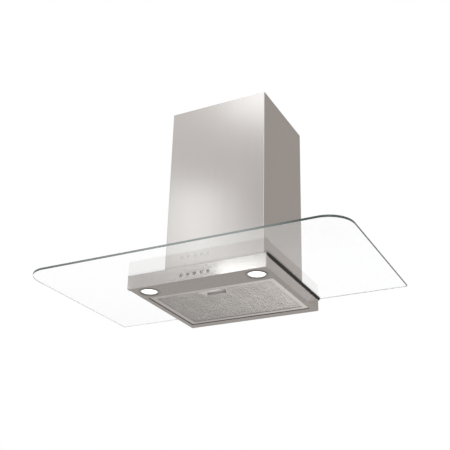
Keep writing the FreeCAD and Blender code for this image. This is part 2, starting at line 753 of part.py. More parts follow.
def cable_gland():
    """Gland for the mains cable, in the connection box's lid."""
    top = BOX_TOP + 34
    body = rod(8.0, at(94, -33, top - 5), at(94, -33, top))
    nut = hex_nut(94, -33, top, top + 6, 19.0, 4.0)
    cap = turned([(4, top + 6), (8.6, top + 6), (7.4, top + 14), (4, top + 14)], at(94, -33, 0))
    return body.fuse([nut, cap]).cut(rod(4.0, at(94, -33, top - 6), at(94, -33, top + 15)))


# ---------------------------------------------------------------- fan

def fan_point(u, v):
    """A point of the fan's side view: u towards the cook and v up from the shaft."""
    return at(0, SCROLL_Y - u, SCROLL_Z + v)


def scroll_side(inset, top):
    """The volute's side view: four quarter arcs of falling radius and a straight mouth."""
    radius = SCROLL_R - inset
    half = SCROLL_STEP / 2
    second = radius - SCROLL_STEP
    third = second - SCROLL_STEP
    fourth = third - SCROLL_STEP
    tongue = 24.0 + inset
    angle = math.acos((tongue + half) / fourth)
    tongue_v = half + fourth * math.sin(angle)
    diagonal = math.sqrt(0.5)
    a = (half + radius, half)
    b = (half, half - radius)
    c = (half - second, -half)
    d = (-half, -half + third)
    e = (tongue, tongue_v)
    middle = (angle + math.pi / 2) / 2
    arcs = [
        (a, (half + radius * diagonal, half - radius * diagonal), b),
        (b, (half - second * diagonal, -half - second * diagonal), c),
        (c, (-half - third * diagonal, -half + third * diagonal), d),
        (d, (-half + fourth * math.cos(middle), half + fourth * math.sin(middle)), e),
    ]
    edges = [Part.Arc(fan_point(*p), fan_point(*q), fan_point(*r)).toShape() for p, q, r in arcs]
    corners = [e, (tongue, top), (half + radius, top), a]
    edges += [
        Part.LineSegment(fan_point(*p), fan_point(*q)).toShape() for p, q in zip(corners, corners[1:])
    ]
    return Part.Face(Part.Wire(Part.__sortEdges__(edges)))


def along_x(face, half):
    """A side view carried along x, the same distance both ways."""
    solid = face.extrude(at(2 * half, 0, 0))
    solid.translate(at(-half, 0, 0))
    return solid


def scroll_housing():
    """Volute with a ringed inlet on each side and its mouth under the outlet."""
    mouth = BOX_TOP - 1 - SCROLL_Z
    outer = along_x(scroll_side(0, mouth), SCROLL_HALF)
    inner = along_x(scroll_side(SCROLL_WALL, mouth + 2), SCROLL_HALF - SCROLL_WALL)
    shell = outer.cut(inner)
    shell = shell.fuse([fan_rod(66.0, SCROLL_HALF - SCROLL_WALL, SCROLL_HALF + 6),
                        fan_rod(66.0, -SCROLL_HALF - 6, -SCROLL_HALF + SCROLL_WALL)])
    return shell.removeSplitter().cut(fan_rod(INLET_R, -SCROLL_HALF - 7, SCROLL_HALF + 7))


def blower_rails():
    """Cross rails that carry the volute inside the box."""
    rail = block(SCROLL_HALF, SCROLL_HALF + 1.5, -BOX_FRONT + 1, -BACK_PLATE - 1, 4, 20)
    foot = block(SCROLL_HALF, SCROLL_HALF + 14, -BOX_FRONT + 1, -BACK_PLATE - 1, 2.5, 4)
    return both_sides(rail.fuse(foot).removeSplitter())


def impeller():
    """Double-inlet wheel: hub with its centre disc, two rims, and forward-curved blades between them."""
    disc = fan_rod(BLADE_INNER - 0.01, -1, 1).fuse(fan_rod(13.0, -12, 12))
    disc = disc.cut(fan_rod(SHAFT_R, -20, 20))
    starts = (-WHEEL_HALF, WHEEL_HALF - 2)
    rims = [fan_rod(WHEEL_R, x, x + 2).cut(fan_rod(INLET_R, x - 1, x + 3)) for x in starts]
    blades = [blade(2 * math.pi * k / BLADE_COUNT) for k in range(BLADE_COUNT)]
    return Part.makeCompound([disc] + rims + blades)


def blade(turn):
    """One blade of the wheel, a thin leaning strip from rim to rim that meets the centre disc."""
    outer = WHEEL_R - 0.4
    lean = 0.10
    thick = 0.010
    polar = [(BLADE_INNER, -thick), (outer, lean - thick), (outer, lean + thick), (BLADE_INNER, thick)]
    points = [fan_point(r * math.cos(turn + a), r * math.sin(turn + a)) for r, a in polar]
    face = Part.Face(Part.makePolygon(points + points[:1]))
    return along_x(face, WHEEL_HALF - 2)


def fan_rod(radius, x0, x1):
    """A round bar on the fan's shaft line."""
    return rod(radius, at(x0, SCROLL_Y, SCROLL_Z), at(x1, SCROLL_Y, SCROLL_Z))


def motor_shaft():
    """Shaft through the motor and the wheel's hub."""
    return fan_rod(SHAFT_R, -14, 88)


def motor_rotor():
    """Laminated rotor on the shaft."""
    return fan_rod(18.0, 30, 66).cut(fan_rod(SHAFT_R, 29, 67))


def motor_stator():
    """Wound stator inside the motor housing."""
    core = fan_rod(MOTOR_R - 1.5, 32, 64).cut(fan_rod(19.0, 31, 65))
    winding = fan_rod(31.0, 26, 70).cut(fan_rod(20.5, 25, 71))
    return core.fuse(winding)


def motor_housing():
    """Motor can with vent slots and a bearing seat at each end."""
    can = fan_rod(MOTOR_R, 16, 80).cut(fan_rod(MOTOR_R - 1.5, 18, 78))
    seats = fan_rod(13.0, 14.5, 23).fuse(fan_rod(13.0, 73, 83))
    can = can.fuse(seats).cut(fan_rod(11.0, 16, 23.5)).cut(fan_rod(11.0, 72.5, 81.5))
    can = can.cut(fan_rod(6.0, 10, 90))
    slots = []
    for k in range(10):
        slot = block(72, 82, SCROLL_Y - 1.6, SCROLL_Y + 1.6, SCROLL_Z + 18, SCROLL_Z + 31)
        slot.rotate(at(0, SCROLL_Y, SCROLL_Z), X_AXIS, 36 * k)
        slots.append(slot)
    return can.cut(slots[0].fuse(slots[1:]))


def motor_bearings():
    """Two bearings that carry the shaft."""
    left = fan_rod(11.0, 16, 23).cut(fan_rod(SHAFT_R + 0.05, 15, 24))
    right = fan_rod(11.0, 74.5, 81.5).cut(fan_rod(SHAFT_R + 0.05, 74, 82))
    return Part.makeCompound([left, right])


def motor_bracket():
    """Three-armed spider from the inlet ring to the motor."""
    hub = fan_rod(44.0, SCROLL_HALF + 6, SCROLL_HALF + 9).cut(fan_rod(MOTOR_R, 0, 90))
    arms = []
    x = SCROLL_HALF + 6
    for k in range(3):
        arm = block(x, x + 3, SCROLL_Y - 6, SCROLL_Y + 6, SCROLL_Z + 42, SCROLL_Z + 66)
        arm.rotate(at(0, SCROLL_Y, SCROLL_Z), X_AXIS, 60 + 120 * k)
        arms.append(arm)
    return hub.fuse(arms).removeSplitter()


def motor_capacitor():
    """Run capacitor on the box's left wall."""
    radius = 14.0
    x = -BOX_HALF + 1 + radius
    z = 112.0
    can = rod(radius, at(x, -212, z), at(x, -156, z))
    return can.fuse(rod(4.0, at(x, -156, z), at(x, -148, z)))


# ---------------------------------------------------------------- chimney

VENT_ROWS = 8
VENT_TOP = 24.0
VENT_PITCH = 9.0
VENT_HEIGHT = 4.0
VENT_Y = -135.0
VENT_HALF = 51.0
BRACKET_HEIGHT = 20.0
WALL_BRACKET_Z = 470.0
WALL_BRACKET_HOLE_X = 75.0
WALL_BRACKET_HOLE_R = 2.75
CEILING_BRACKET_Z = 505.0


def folded_cover(half, front, back, z0, z1):
    """A three-sided cover folded from sheet, with narrow returns towards the wall."""
    t = CHIMNEY_SHEET
    outer = block(-half, half, -front, -back, z0, z1)
    outer = rounded(outer, 2 * t, upright_edges(outer))
    inner = block(-half + t, half - t, -front + t, -back - t, z0 - 1, z1 + 1)
    mouth = block(-half + CHIMNEY_RETURN, half - CHIMNEY_RETURN, -back - 2 * t, 0, z0 - 1, z1 + 1)
    return outer.cut(inner).cut(mouth)


def chimney_lower():
    """Outer chimney cover, standing on the glass."""
    cover = folded_cover(CHIMNEY_WIDTH / 2, CHIMNEY_FRONT, CHIMNEY_BACK, GLASS_THICK, CHIMNEY_TOP)
    reach = CHIMNEY_WIDTH / 2 - 0.3
    for y in CLAMP_SCREW_Y:
        cover = cover.cut(rod(FOOT_SCREW_R + 0.05, at(-reach, y, FOOT_SCREW_Z), at(reach, y, FOOT_SCREW_Z)))
    return cover


def chimney_upper():
    """Inner chimney cover, drawn up when the hood is fitted, with vents near its top."""
    shrink = CHIMNEY_SHEET + UPPER_GAP
    half = CHIMNEY_WIDTH / 2 - shrink
    top = CHIMNEY_TOP - 1.5
    cover = folded_cover(half, CHIMNEY_FRONT - shrink, CHIMNEY_BACK + shrink, UPPER_BOTTOM, top)
    slots = []
    for row in range(VENT_ROWS):
        z = top - VENT_TOP - VENT_PITCH * row
        slots.append(block(-half - 1, half + 1, VENT_Y - VENT_HALF, VENT_Y + VENT_HALF, z - VENT_HEIGHT, z))
    return cover.cut(slots[0].fuse(slots[1:]))


def chimney_screws():
    """Short screws from inside the clamp bars into the chimney's foot."""
    wall = CHIMNEY_WIDTH / 2
    bar = wall - CHIMNEY_SHEET - CLAMP_SHEET
    screws = []
    for y in CLAMP_SCREW_Y:
        head = rod(3.8, at(bar - 2.4, y, FOOT_SCREW_Z), at(bar, y, FOOT_SCREW_Z))
        shank = rod(FOOT_SCREW_R, at(bar, y, FOOT_SCREW_Z), at(wall - 0.35, y, FOOT_SCREW_Z))
        screws.append(head.fuse(shank))
    return Part.makeCompound(screws + [mirrored(screw) for screw in screws])


def wall_bracket():
    """Strip behind the outer chimney's returns, with two ears that guide the inner one."""
    z = WALL_BRACKET_Z
    strip = block(-146, 146, -CHIMNEY_BACK, 0, z, z + BRACKET_HEIGHT)
    ear = block(124.5, 126, -24, 0, z, z + BRACKET_HEIGHT)
    shape = strip.fuse([ear, mirrored(ear)]).removeSplitter()
    middle = z + BRACKET_HEIGHT / 2
    for x in (-WALL_BRACKET_HOLE_X, WALL_BRACKET_HOLE_X):
        shape = shape.cut(rod(WALL_BRACKET_HOLE_R, at(x, -3, middle), at(x, 1, middle)))
    return shape


def ceiling_bracket():
    """Upper bracket, screwed to the inner chimney and raised with it."""
    z = CEILING_BRACKET_Z
    half = CHIMNEY_WIDTH / 2 - 2 * CHIMNEY_SHEET - UPPER_GAP
    strip = block(-half, half, -7.5, -6.0, z, z + BRACKET_HEIGHT)
    ear = block(half - 1.5, half, -30, -6, z, z + BRACKET_HEIGHT)
    return strip.fuse([ear, mirrored(ear)]).removeSplitter()


# ---------------------------------------------------------------- inner leads

LAMP_LEAD_R = 1.2
MOTOR_LEAD_R = 2.0
LEAD_Z = TOP_PLATE - 6.5
BEND_SHARE = 0.45


def lead(points, radius):
    """A lead along straight runs joined by tangent arcs that take nine tenths of the shorter run."""
    edges = []
    last = points[0]
    for before, corner, after in zip(points, points[1:], points[2:]):
        run_in = corner - before
        run_out = after - corner
        reach = BEND_SHARE * min(run_in.Length, run_out.Length)
        run_in.normalize()
        run_out.normalize()
        start = corner - run_in * reach
        end = corner + run_out * reach
        half_turn = run_in.getAngle(run_out) / 2
        bend = reach / math.tan(half_turn)
        inward = run_out - run_in
        inward.normalize()
        middle = corner + inward * (bend / math.cos(half_turn) - bend)
        edges.append(Part.LineSegment(last, start).toShape())
        edges.append(Part.Arc(start, middle, end).toShape())
        last = end
    edges.append(Part.LineSegment(last, points[-1]).toShape())
    path = Part.Wire(edges)
    along = points[1] - points[0]
    section = Part.Wire(Part.makeCircle(radius, points[0], along))
    return path.makePipeShell([section], True, False)


def inner_leads():
    """Two lamp leads to the transformer and the motor's lead from the board's socket."""
    socket = LAMP_X - 8.9
    left = [
        at(-socket, LAMP_Y, LEAD_Z), at(-139, LAMP_Y, LEAD_Z), at(-131, LAMP_Y - 8, LEAD_Z),
        at(-120, LAMP_Y - 8, LEAD_Z),
    ]
    right = [
        at(socket, LAMP_Y, LEAD_Z), at(128, LAMP_Y, LEAD_Z), at(96, LAMP_Y + 16, LEAD_Z + 1),
        at(44, LAMP_Y + 21, LEAD_Z + 1.5), at(-8, LAMP_Y + 17, LEAD_Z), at(-42, LAMP_Y, LEAD_Z - 1),
        at(-62, LAMP_Y, LEAD_Z - 1),
    ]
    motor = [
        at(35, FASCIA_BACK + 23, -17.5), at(35, -318, -17.5), at(52, -290, -13.5), at(82, -266, -11),
        at(101, -238, -10.5), at(104, -213, -6), at(104, -194, 12), at(103, -176, 34),
        at(101, -148, 49), at(98, -120, SCROLL_Z - 34.3), at(93, SCROLL_Y, SCROLL_Z - 34.3),
        at(80, SCROLL_Y, SCROLL_Z - 34.3),
    ]
    return Part.makeCompound([lead(left, LAMP_LEAD_R), lead(right, LAMP_LEAD_R), lead(motor, MOTOR_LEAD_R)])


# ---------------------------------------------------------------- all sub-parts

def save_glass():
    """The pane and everything that clamps it."""
    save("glass_canopy", glass_canopy())
    save("glass_gasket", glass_gasket())
    save("glass_spacers", glass_spacers())
    save("glass_bushes", glass_bushes())
    save("glass_clamps", both_sides(glass_clamp()))
    save("glass_screws", glass_screws())
    save("glass_nuts", glass_nuts())


def save_body():
    """The body's sheets and its lamps."""
    save("body_casing", body_casing())
    save("fascia", fascia())
    save("lamp_panel", lamp_panel())
    save("fascia_screws", fascia_screws())
    save("lamp_transformer", lamp_transformer())
    for name, x in (("left", -LAMP_X), ("right", LAMP_X)):
        save("lamp_bezel_" + name, lamp_bezel(x))
        save("lamp_lens_" + name, lamp_lens(x))
    save("lamp_cups", both_sides(lamp_cup(LAMP_X)))
    save("lamp_sockets", both_sides(lamp_socket(LAMP_X)))
    save("lamp_capsules", both_sides(lamp_capsule(LAMP_X)))


def save_controls():
    """Buttons and the board behind them."""
    for number, x in enumerate(button_places(), 1):
        save("button_" + str(number), push_button(x))
    save("button_carrier", button_carrier())
    save("control_board", control_board())
    save("button_switches", button_switches())
    save("board_relays", board_relays())


def save_filter():
    """The grease filter that swings down at the front."""
    save("filter_frame", filter_frame())
    sheets = [mesh_sheet(FILTER_BOTTOM + 1), mesh_sheet(FILTER_TOP - 1 - MESH_SHEET)]
    save("filter_mesh_sheets", Part.makeCompound(sheets))
    save("filter_mesh_core", mesh_core())
    save("filter_handle", filter_handle())
    save("filter_latch", filter_latch())
    save("latch_springs", latch_springs())
    save("filter_pivots", filter_pivots())
    save("pivot_brackets", pivot_brackets())


def save_blower():
    """Blower box, fan, motor and outlet."""
    save("back_plate", back_plate())
    save("blower_box", blower_box())
    save("outlet_collar", outlet_collar())
    save("damper_flap_front", damper_flap(-1))
    save("damper_flap_rear", damper_flap(1))
    save("terminal_box", terminal_box())
    save("terminal_block", terminal_block())
    save("cable_gland", cable_gland())
    save("scroll_housing", scroll_housing())
    save("blower_rails", blower_rails())
    save("impeller", impeller())
    save("motor_shaft", motor_shaft())
    save("motor_rotor", motor_rotor())
    save("motor_stator", motor_stator())
    save("motor_housing", motor_housing())
    save("motor_bearings", motor_bearings())
    save("motor_bracket", motor_bracket())
    save("motor_capacitor", motor_capacitor())


def save_chimney():
    """Both chimney covers and their brackets."""
    save("chimney_lower", chimney_lower())
    save("chimney_upper", chimney_upper())
    save("chimney_screws", chimney_screws())
    save("wall_bracket", wall_bracket())
    save("ceiling_bracket", ceiling_bracket())


os.makedirs("parts", exist_ok=True)
save_glass()
save_body()
save_controls()
save_filter()
save_blower()
save_chimney()
save("inner_leads", inner_leads())
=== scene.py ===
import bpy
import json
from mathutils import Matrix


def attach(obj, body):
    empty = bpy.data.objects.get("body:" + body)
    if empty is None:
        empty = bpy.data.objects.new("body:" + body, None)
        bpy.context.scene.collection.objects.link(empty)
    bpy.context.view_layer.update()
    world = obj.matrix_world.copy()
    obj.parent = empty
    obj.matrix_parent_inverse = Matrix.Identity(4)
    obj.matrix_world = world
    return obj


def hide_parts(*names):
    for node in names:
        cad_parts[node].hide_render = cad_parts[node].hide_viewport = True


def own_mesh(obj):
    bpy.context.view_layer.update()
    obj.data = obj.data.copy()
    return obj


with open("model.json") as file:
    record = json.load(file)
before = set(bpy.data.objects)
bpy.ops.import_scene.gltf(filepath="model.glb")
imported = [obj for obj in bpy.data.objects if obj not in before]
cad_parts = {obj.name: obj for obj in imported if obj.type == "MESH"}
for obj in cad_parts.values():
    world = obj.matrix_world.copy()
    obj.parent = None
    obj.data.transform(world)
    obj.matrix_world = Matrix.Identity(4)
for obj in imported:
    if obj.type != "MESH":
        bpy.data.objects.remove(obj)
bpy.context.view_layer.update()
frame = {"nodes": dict(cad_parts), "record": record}        # bodies, nodes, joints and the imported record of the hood

import json
import logging
import math
from dataclasses import dataclass, field
from enum import Enum

import bmesh
import bpy
import numpy as np
from mathutils import Matrix, Vector
from mathutils.geometry import delaunay_2d_cdt

# All sizes of the hood below are in millimetres, in the hood's own frame: x to the right as the
# cook faces it, y into the wall (wall face y = 0), z up from the pane's underside (z = 0).
MM = 0.001
MERGED = 2e-6            # metres: points nearer than this become one
SLIVER = 1e-7            # metres: edges shorter than this go
SIDEWAYS = 0.7           # share of a face's normal along x from which it counts as looking sideways
FLAT_TOLERANCE = 1e-5    # millimetres: points nearer than this are one while a face is cut into triangles

Pair = tuple[float, float]
Triple = tuple[float, float, float]
Colour = tuple[float, float, float]
Socket = bpy.types.NodeSocket

log = logging.getLogger("range hood")


# ------------------------------------------------------------------ surfaces

@dataclass
class Shell:
    """A surface in millimetres: its points, its faces as arrays of point numbers, its material's number."""

    points: np.ndarray
    faces: list[np.ndarray]
    material: int = 0

    def swapped(self, order: tuple[int, int, int]) -> "Shell":
        """The same surface with its coordinates in another order."""
        return Shell(self.points[:, list(order)], self.faces, self.material)

    def moved(self, x: float, y: float, z: float) -> "Shell":
        """The same surface, shifted."""
        return Shell(self.points + np.array([x, y, z]), self.faces, self.material)

    def mirrored(self) -> "Shell":
        """The same surface on the other side of the hood's centre line."""
        return Shell(self.points * np.array([-1.0, 1.0, 1.0]), self.faces, self.material)

    def painted(self, material: int) -> "Shell":
        """The same surface with another of its piece's materials."""
        return Shell(self.points, self.faces, material)


def grid(points: np.ndarray, close_u: bool = False, close_v: bool = False) -> Shell:
    """A surface over a grid of two parameters: each cell of the grid is one four-sided face.

    Args:
        points: array of (rows, columns, 3) coordinates.
        close_u: joins the last row to the first.
        close_v: joins the last column to the first.

    Returns:
        The surface.
    """
    rows, columns = points.shape[:2]
    number = np.arange(rows * columns).reshape(rows, columns)
    if close_u:
        number = np.vstack([number, number[:1]])
    if close_v:
        number = np.hstack([number, number[:, :1]])
    quads = np.stack([number[:-1, :-1], number[1:, :-1], number[1:, 1:], number[:-1, 1:]], axis=-1)
    return Shell(points.reshape(-1, 3), [quads.reshape(-1, 4)])


def within(points: np.ndarray, loops: list[np.ndarray]) -> np.ndarray:
    """Even-odd rule: a point is within if a ray to its right crosses the loops' edges an odd number of times.

    Args:
        points: array of (n, 2) points.
        loops: closed loops of (m, 2) points.

    Returns:
        One truth value for each point.
    """
    x, y = points[:, :1], points[:, 1:2]
    crossed = np.zeros(len(points), int)
    for loop in loops:
        after = np.roll(loop, -1, axis=0)
        spans = (loop[:, 1] > y) != (after[:, 1] > y)
        rise = np.where(np.abs(after[:, 1] - loop[:, 1]) < 1e-12, 1.0, after[:, 1] - loop[:, 1])
        meets = loop[:, 0] + (y - loop[:, 1]) * (after[:, 0] - loop[:, 0]) / rise
        crossed += np.sum(spans & (x < meets), axis=1)
    return crossed % 2 == 1


def triangles(loops: list[np.ndarray]) -> np.ndarray:
    """Constrained triangles over the area that the even-odd rule puts within the loops.

    Args:
        loops: closed loops of (n, 2) points, the outer one first.

    Returns:
        Array of (n, 3) numbers of the points, counted through all loops in turn.
    """
    points = np.vstack(loops)
    edges = []
    start = 0
    for loop in loops:
        ring = np.arange(len(loop)) + start
        edges += np.stack([ring, np.roll(ring, -1)], axis=1).tolist()
        start += len(loop)
    made = delaunay_2d_cdt([Vector(p) for p in points.tolist()], edges, [], 0, FLAT_TOLERANCE)
    source = np.array([numbers[0] for numbers in made[3]])
    faces = source[np.array(made[2])]
    keep = within(points[faces].mean(axis=1), loops)
    return faces[keep]


def flat_face(loops: list[np.ndarray], height: float) -> Shell:
    """A flat face inside the first loop and outside the others, at one height.

    Args:
        loops: closed loops of (n, 2) points, the outer one first.
        height: third coordinate of the face.

    Returns:
        The surface.
    """
    points = np.vstack(loops)
    flat = np.column_stack([points, np.full(len(points), height)])
    return Shell(flat, [triangles(loops)])


def wound(loop: np.ndarray, left: bool) -> np.ndarray:
    """A closed loop that runs the wanted way, told by the sign of its area: half the sum of the cross
    products of neighbouring points.

    Args:
        loop: closed loop of (n, 2) points.
        left: True for anticlockwise, False for clockwise.

    Returns:
        The loop, turned round if need be.
    """
    after = np.roll(loop, -1, axis=0)
    area = np.sum(loop[:, 0] * after[:, 1] - loop[:, 1] * after[:, 0])
    return loop if (area > 0) == left else loop[::-1]


def inset(loop: np.ndarray, distance: float) -> np.ndarray:
    """A closed loop moved to its own left: each point goes along the sum of its two edges' left normals,
    divided by one plus their scalar product, times the distance.

    Args:
        loop: closed loop of (n, 2) points.
        distance: how far it moves.

    Returns:
        The moved loop, with as many points.
    """
    ahead = np.roll(loop, -1, axis=0) - loop
    ahead = ahead / np.linalg.norm(ahead, axis=1, keepdims=True)
    left = np.stack([-ahead[:, 1], ahead[:, 0]], axis=1)
    before = np.roll(left, 1, axis=0)
    return loop + distance * (left + before) / (1 + np.sum(left * before, axis=1, keepdims=True))


def beside(path: np.ndarray, distance: float) -> np.ndarray:
    """An open path moved to its own left, by the same rule as inset.

    Args:
        path: open path of (n, 2) points.
        distance: how far it moves.

    Returns:
        The moved path, with as many points.
    """
    ahead = np.diff(path, axis=0)
    ahead = ahead / np.linalg.norm(ahead, axis=1, keepdims=True)
    left = np.stack([-ahead[:, 1], ahead[:, 0]], axis=1)
    before = np.vstack([left[:1], left])
    after = np.vstack([left, left[-1:]])
    return path + distance * (before + after) / (1 + np.sum(before * after, axis=1, keepdims=True))


def rounded_path(corners: list[Triple], closed: bool = True,
                 steps: int = 8) -> np.ndarray:
    """Straight runs through corners, each rounded by an arc tangent to both runs. The arc's ends lie
    radius times the tangent of half the turn from the corner.

    Args:
        corners: (x, y, radius) of each corner; a radius of 0 keeps the point.
        closed: whether the last corner runs on to the first.
        steps: parts of each arc.

    Returns:
        Array of (n, 2) points.
    """
    spots = np.array([corner[:2] for corner in corners], float)
    parts = []
    for number, (x, y, radius) in enumerate(corners):
        here = np.array([x, y])
        at_end = not closed and number in (0, len(corners) - 1)
        if radius <= 0 or at_end:
            parts.append(here[None, :])
            continue
        run_in = here - spots[number - 1]
        run_out = spots[(number + 1) % len(corners)] - here
        run_in, run_out = run_in / np.linalg.norm(run_in), run_out / np.linalg.norm(run_out)
        cross = run_in[0] * run_out[1] - run_in[1] * run_out[0]
        turn = math.atan2(cross, float(run_in @ run_out))
        start = here - run_in * radius * math.tan(abs(turn) / 2)
        to_centre = np.array([-run_in[1], run_in[0]]) * radius * np.sign(turn)
        angle = np.linspace(0, turn, steps + 1)
        arm = -to_centre
        around = np.stack([arm[0] * np.cos(angle) - arm[1] * np.sin(angle),
                           arm[0] * np.sin(angle) + arm[1] * np.cos(angle)], axis=1)
        parts.append(start + to_centre + around)
    return np.vstack(parts)


def rectangle(x0: float, x1: float, y0: float, y1: float, radius: float = 0.0) -> np.ndarray:
    """An anticlockwise rectangle with rounded corners."""
    return rounded_path([(x0, y0, radius), (x1, y0, radius), (x1, y1, radius), (x0, y1, radius)], steps=6)


def circle(x: float, y: float, radius: float, count: int = 48) -> np.ndarray:
    """An anticlockwise circle."""
    angle = np.linspace(0, 2 * math.pi, count, endpoint=False)
    return np.stack([x + radius * np.cos(angle), y + radius * np.sin(angle)], axis=1)


def raised(loop: np.ndarray, height: float) -> np.ndarray:
    """A flat loop or path as points at one height."""
    return np.column_stack([loop, np.full(len(loop), height)])


def rim(loop: np.ndarray, profile: list[Pair]) -> Shell:
    """A closed loop carried through (inset, height) pairs: each row is the loop moved to its left."""
    return grid(np.stack([raised(inset(loop, depth), height) for depth, height in profile]), close_v=True)


def plate(outer: np.ndarray, holes: list[np.ndarray], low: float, high: float, edge: float = 0.3,
          steps: int = 3, rim_material: int = 0) -> list[Shell]:
    """A flat plate whose edges are quarter rounds of one radius: two flat faces and a rim round each loop.

    Args:
        outer: the plate's outline.
        holes: outlines of its holes.
        low: height of the lower face.
        high: height of the upper face.
        edge: radius of the edges.
        steps: parts of each quarter round.
        rim_material: number of the material that the rims take.

    Returns:
        The surfaces.
    """
    loops = [wound(outer, True)] + [wound(hole, False) for hole in holes]
    turn = np.linspace(0, math.pi / 2, steps + 1)
    lower = np.stack([edge * (1 - np.sin(turn)), low + edge * (1 - np.cos(turn))], axis=1)
    upper = np.stack([lower[::-1, 0], low + high - lower[::-1, 1]], axis=1)
    profile = np.vstack([lower, upper]).tolist()
    shells = [rim(loop, profile).painted(rim_material) for loop in loops]
    flats = [inset(loop, edge) for loop in loops]
    return shells + [flat_face(flats, low), flat_face(flats, high)]


class Axis(Enum):
    """The direction of a turned piece's axis, as the order that puts (across, across, along) onto x, y, z."""

    Y = (0, 2, 1)
    Z = (0, 1, 2)


def turned(profile: list[Pair], centre: Triple, axis: Axis = Axis.Z,
           count: int = 72) -> Shell:
    """A profile turned about an axis: the point at angle a of profile point (r, s) is r cos a and r sin a
    across and s along. A profile that starts on the axis closes at its poles; any other closes into a ring.

    Args:
        profile: (radius, along) pairs.
        centre: point on the axis where along is 0.
        axis: direction of the axis.
        count: points round the axis.

    Returns:
        The surface.
    """
    radius, along = np.array(profile, float).T
    angle = np.linspace(0, 2 * math.pi, count, endpoint=False)
    points = np.stack([np.outer(radius, np.cos(angle)), np.outer(radius, np.sin(angle)),
                       np.repeat(along[:, None], count, axis=1)], axis=-1)
    on_axis = radius[0] < 1e-9 and radius[-1] < 1e-9
    shell = grid(points[..., list(axis.value)], close_u=not on_axis, close_v=True)
    return shell.moved(*centre)


def carried(sections: np.ndarray, closed: bool) -> list[Shell]:
    """A closed profile carried along a path, given as its place at each station. An open run gets an end face
    at its first and last station, triangulated in the profile's own plane.

    Args:
        sections: array of (stations, profile points, 3).
        closed: whether the last station runs on to the first.

    Returns:
        The surfaces.
    """
    shells = [grid(sections, close_u=closed, close_v=True)]
    if not closed:
        for section in (sections[0], sections[-1]):
            spread = np.ptp(section, axis=0)
            plane = [k for k in range(3) if k != int(np.argmin(spread))]
            shells.append(Shell(section, [triangles([section[:, plane]])]))
    return shells


def lofted(stations: list[tuple[np.ndarray, np.ndarray]], height: np.ndarray) -> list[Shell]:
    """An upright profile carried through stations, the x and y of its points, and closed at both ends."""
    return carried(np.stack([np.stack([x, y, height], axis=1) for x, y in stations]), False)


def across(line: np.ndarray, x: float) -> np.ndarray:
    """A line of (y, z) points placed at one x."""
    return np.column_stack([np.full(len(line), x), line])


def tube(path: np.ndarray, radius: float, around: np.ndarray, sides: int = 8) -> Shell:
    """A round wire along a path. At each point its circle lies in the plane of two directions: the cross
    product of the path's direction with a fixed one, and the cross product of the path's direction with that.

    Args:
        path: array of (n, 3) points.
        radius: of the wire.
        around: the fixed direction, never along the path.
        sides: points round the wire.

    Returns:
        The surface, with a pole at each end.
    """
    ahead = np.gradient(path, axis=0)
    ahead /= np.linalg.norm(ahead, axis=1, keepdims=True)
    out = np.cross(ahead, around)
    out /= np.linalg.norm(out, axis=1, keepdims=True)
    side = np.cross(ahead, out)
    angle = np.linspace(0, 2 * math.pi, sides, endpoint=False)
    ring = out[:, None, :] * np.cos(angle)[None, :, None] + side[:, None, :] * np.sin(angle)[None, :, None]
    body = path[:, None, :] + radius * ring
    ends = [np.repeat(path[k][None, None, :], sides, axis=1) for k in (0, -1)]
    return grid(np.concatenate([ends[0], body, ends[1]]), close_v=True)


# ------------------------------------------------------------------ pieces

def add_grain_map(mesh: bpy.types.Mesh) -> None:
    """Lays the map "grain" on a mesh: u runs along x, or along y on faces that look sideways, v across it.

    Args:
        mesh: the mesh, whose faces already point outwards.
    """
    corner = np.empty(len(mesh.loops), int)
    mesh.loops.foreach_get("vertex_index", corner)
    place = np.empty(len(mesh.vertices) * 3)
    mesh.vertices.foreach_get("co", place)
    x, y, z = place.reshape(-1, 3)[corner].T
    normal = np.empty(len(mesh.polygons) * 3)
    mesh.polygons.foreach_get("normal", normal)
    count = np.empty(len(mesh.polygons), int)
    mesh.polygons.foreach_get("loop_total", count)
    sideways = np.repeat(np.abs(normal.reshape(-1, 3)[:, 0]) > SIDEWAYS, count)
    grain = np.stack([np.where(sideways, y, x), np.where(sideways, z, y + z)], axis=1)
    mesh.uv_layers.new(name="grain").data.foreach_set("uv", grain.ravel())


@dataclass
class Part:
    """A visible piece of the hood: its surfaces, finishes, record slot, body and the nodes it stands for."""

    name: str
    shells: list[Shell]
    materials: list[bpy.types.Material]
    slot: str
    body: str
    stands_for: tuple[str, ...] = ()
    sharp_degrees: float = 38.0

    def make(self) -> bpy.types.Object:
        """Builds the mesh with merged doubles and outward faces, and hangs it on its body.

        Returns:
            The finished piece.
        """
        points = np.vstack([shell.points for shell in self.shells]) * MM
        faces: list[list[int]] = []
        paint: list[int] = []
        start = 0
        for shell in self.shells:
            for block in shell.faces:
                faces += (block + start).tolist()
                paint += [shell.material] * len(block)
            start += len(shell.points)
        mesh = bpy.data.meshes.new(self.name)
        mesh.from_pydata(points.tolist(), [], faces)
        mesh.polygons.foreach_set("material_index", paint)
        work = bmesh.new()
        work.from_mesh(mesh)
        bmesh.ops.remove_doubles(work, verts=work.verts, dist=MERGED)
        bmesh.ops.dissolve_degenerate(work, edges=work.edges, dist=SLIVER)
        bmesh.ops.recalc_face_normals(work, faces=work.faces)
        work.to_mesh(mesh)
        work.free()
        for material in self.materials:
            mesh.materials.append(material)
        mesh.shade_smooth()
        mesh.set_sharp_from_angle(angle=math.radians(self.sharp_degrees))
        add_grain_map(mesh)
        piece = bpy.data.objects.new(self.name, mesh)
        bpy.context.scene.collection.objects.link(piece)
        steady = piece.modifiers.new("steady flats", "WEIGHTED_NORMAL")
        steady.keep_sharp = True
        steady.weight = 100
        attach(piece, self.body)
        if self.stands_for:
            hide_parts(*self.stands_for)
        log.info("%s: %d faces on %s", self.name, len(mesh.polygons), self.body)
        return piece


# ------------------------------------------------------------------ finishes

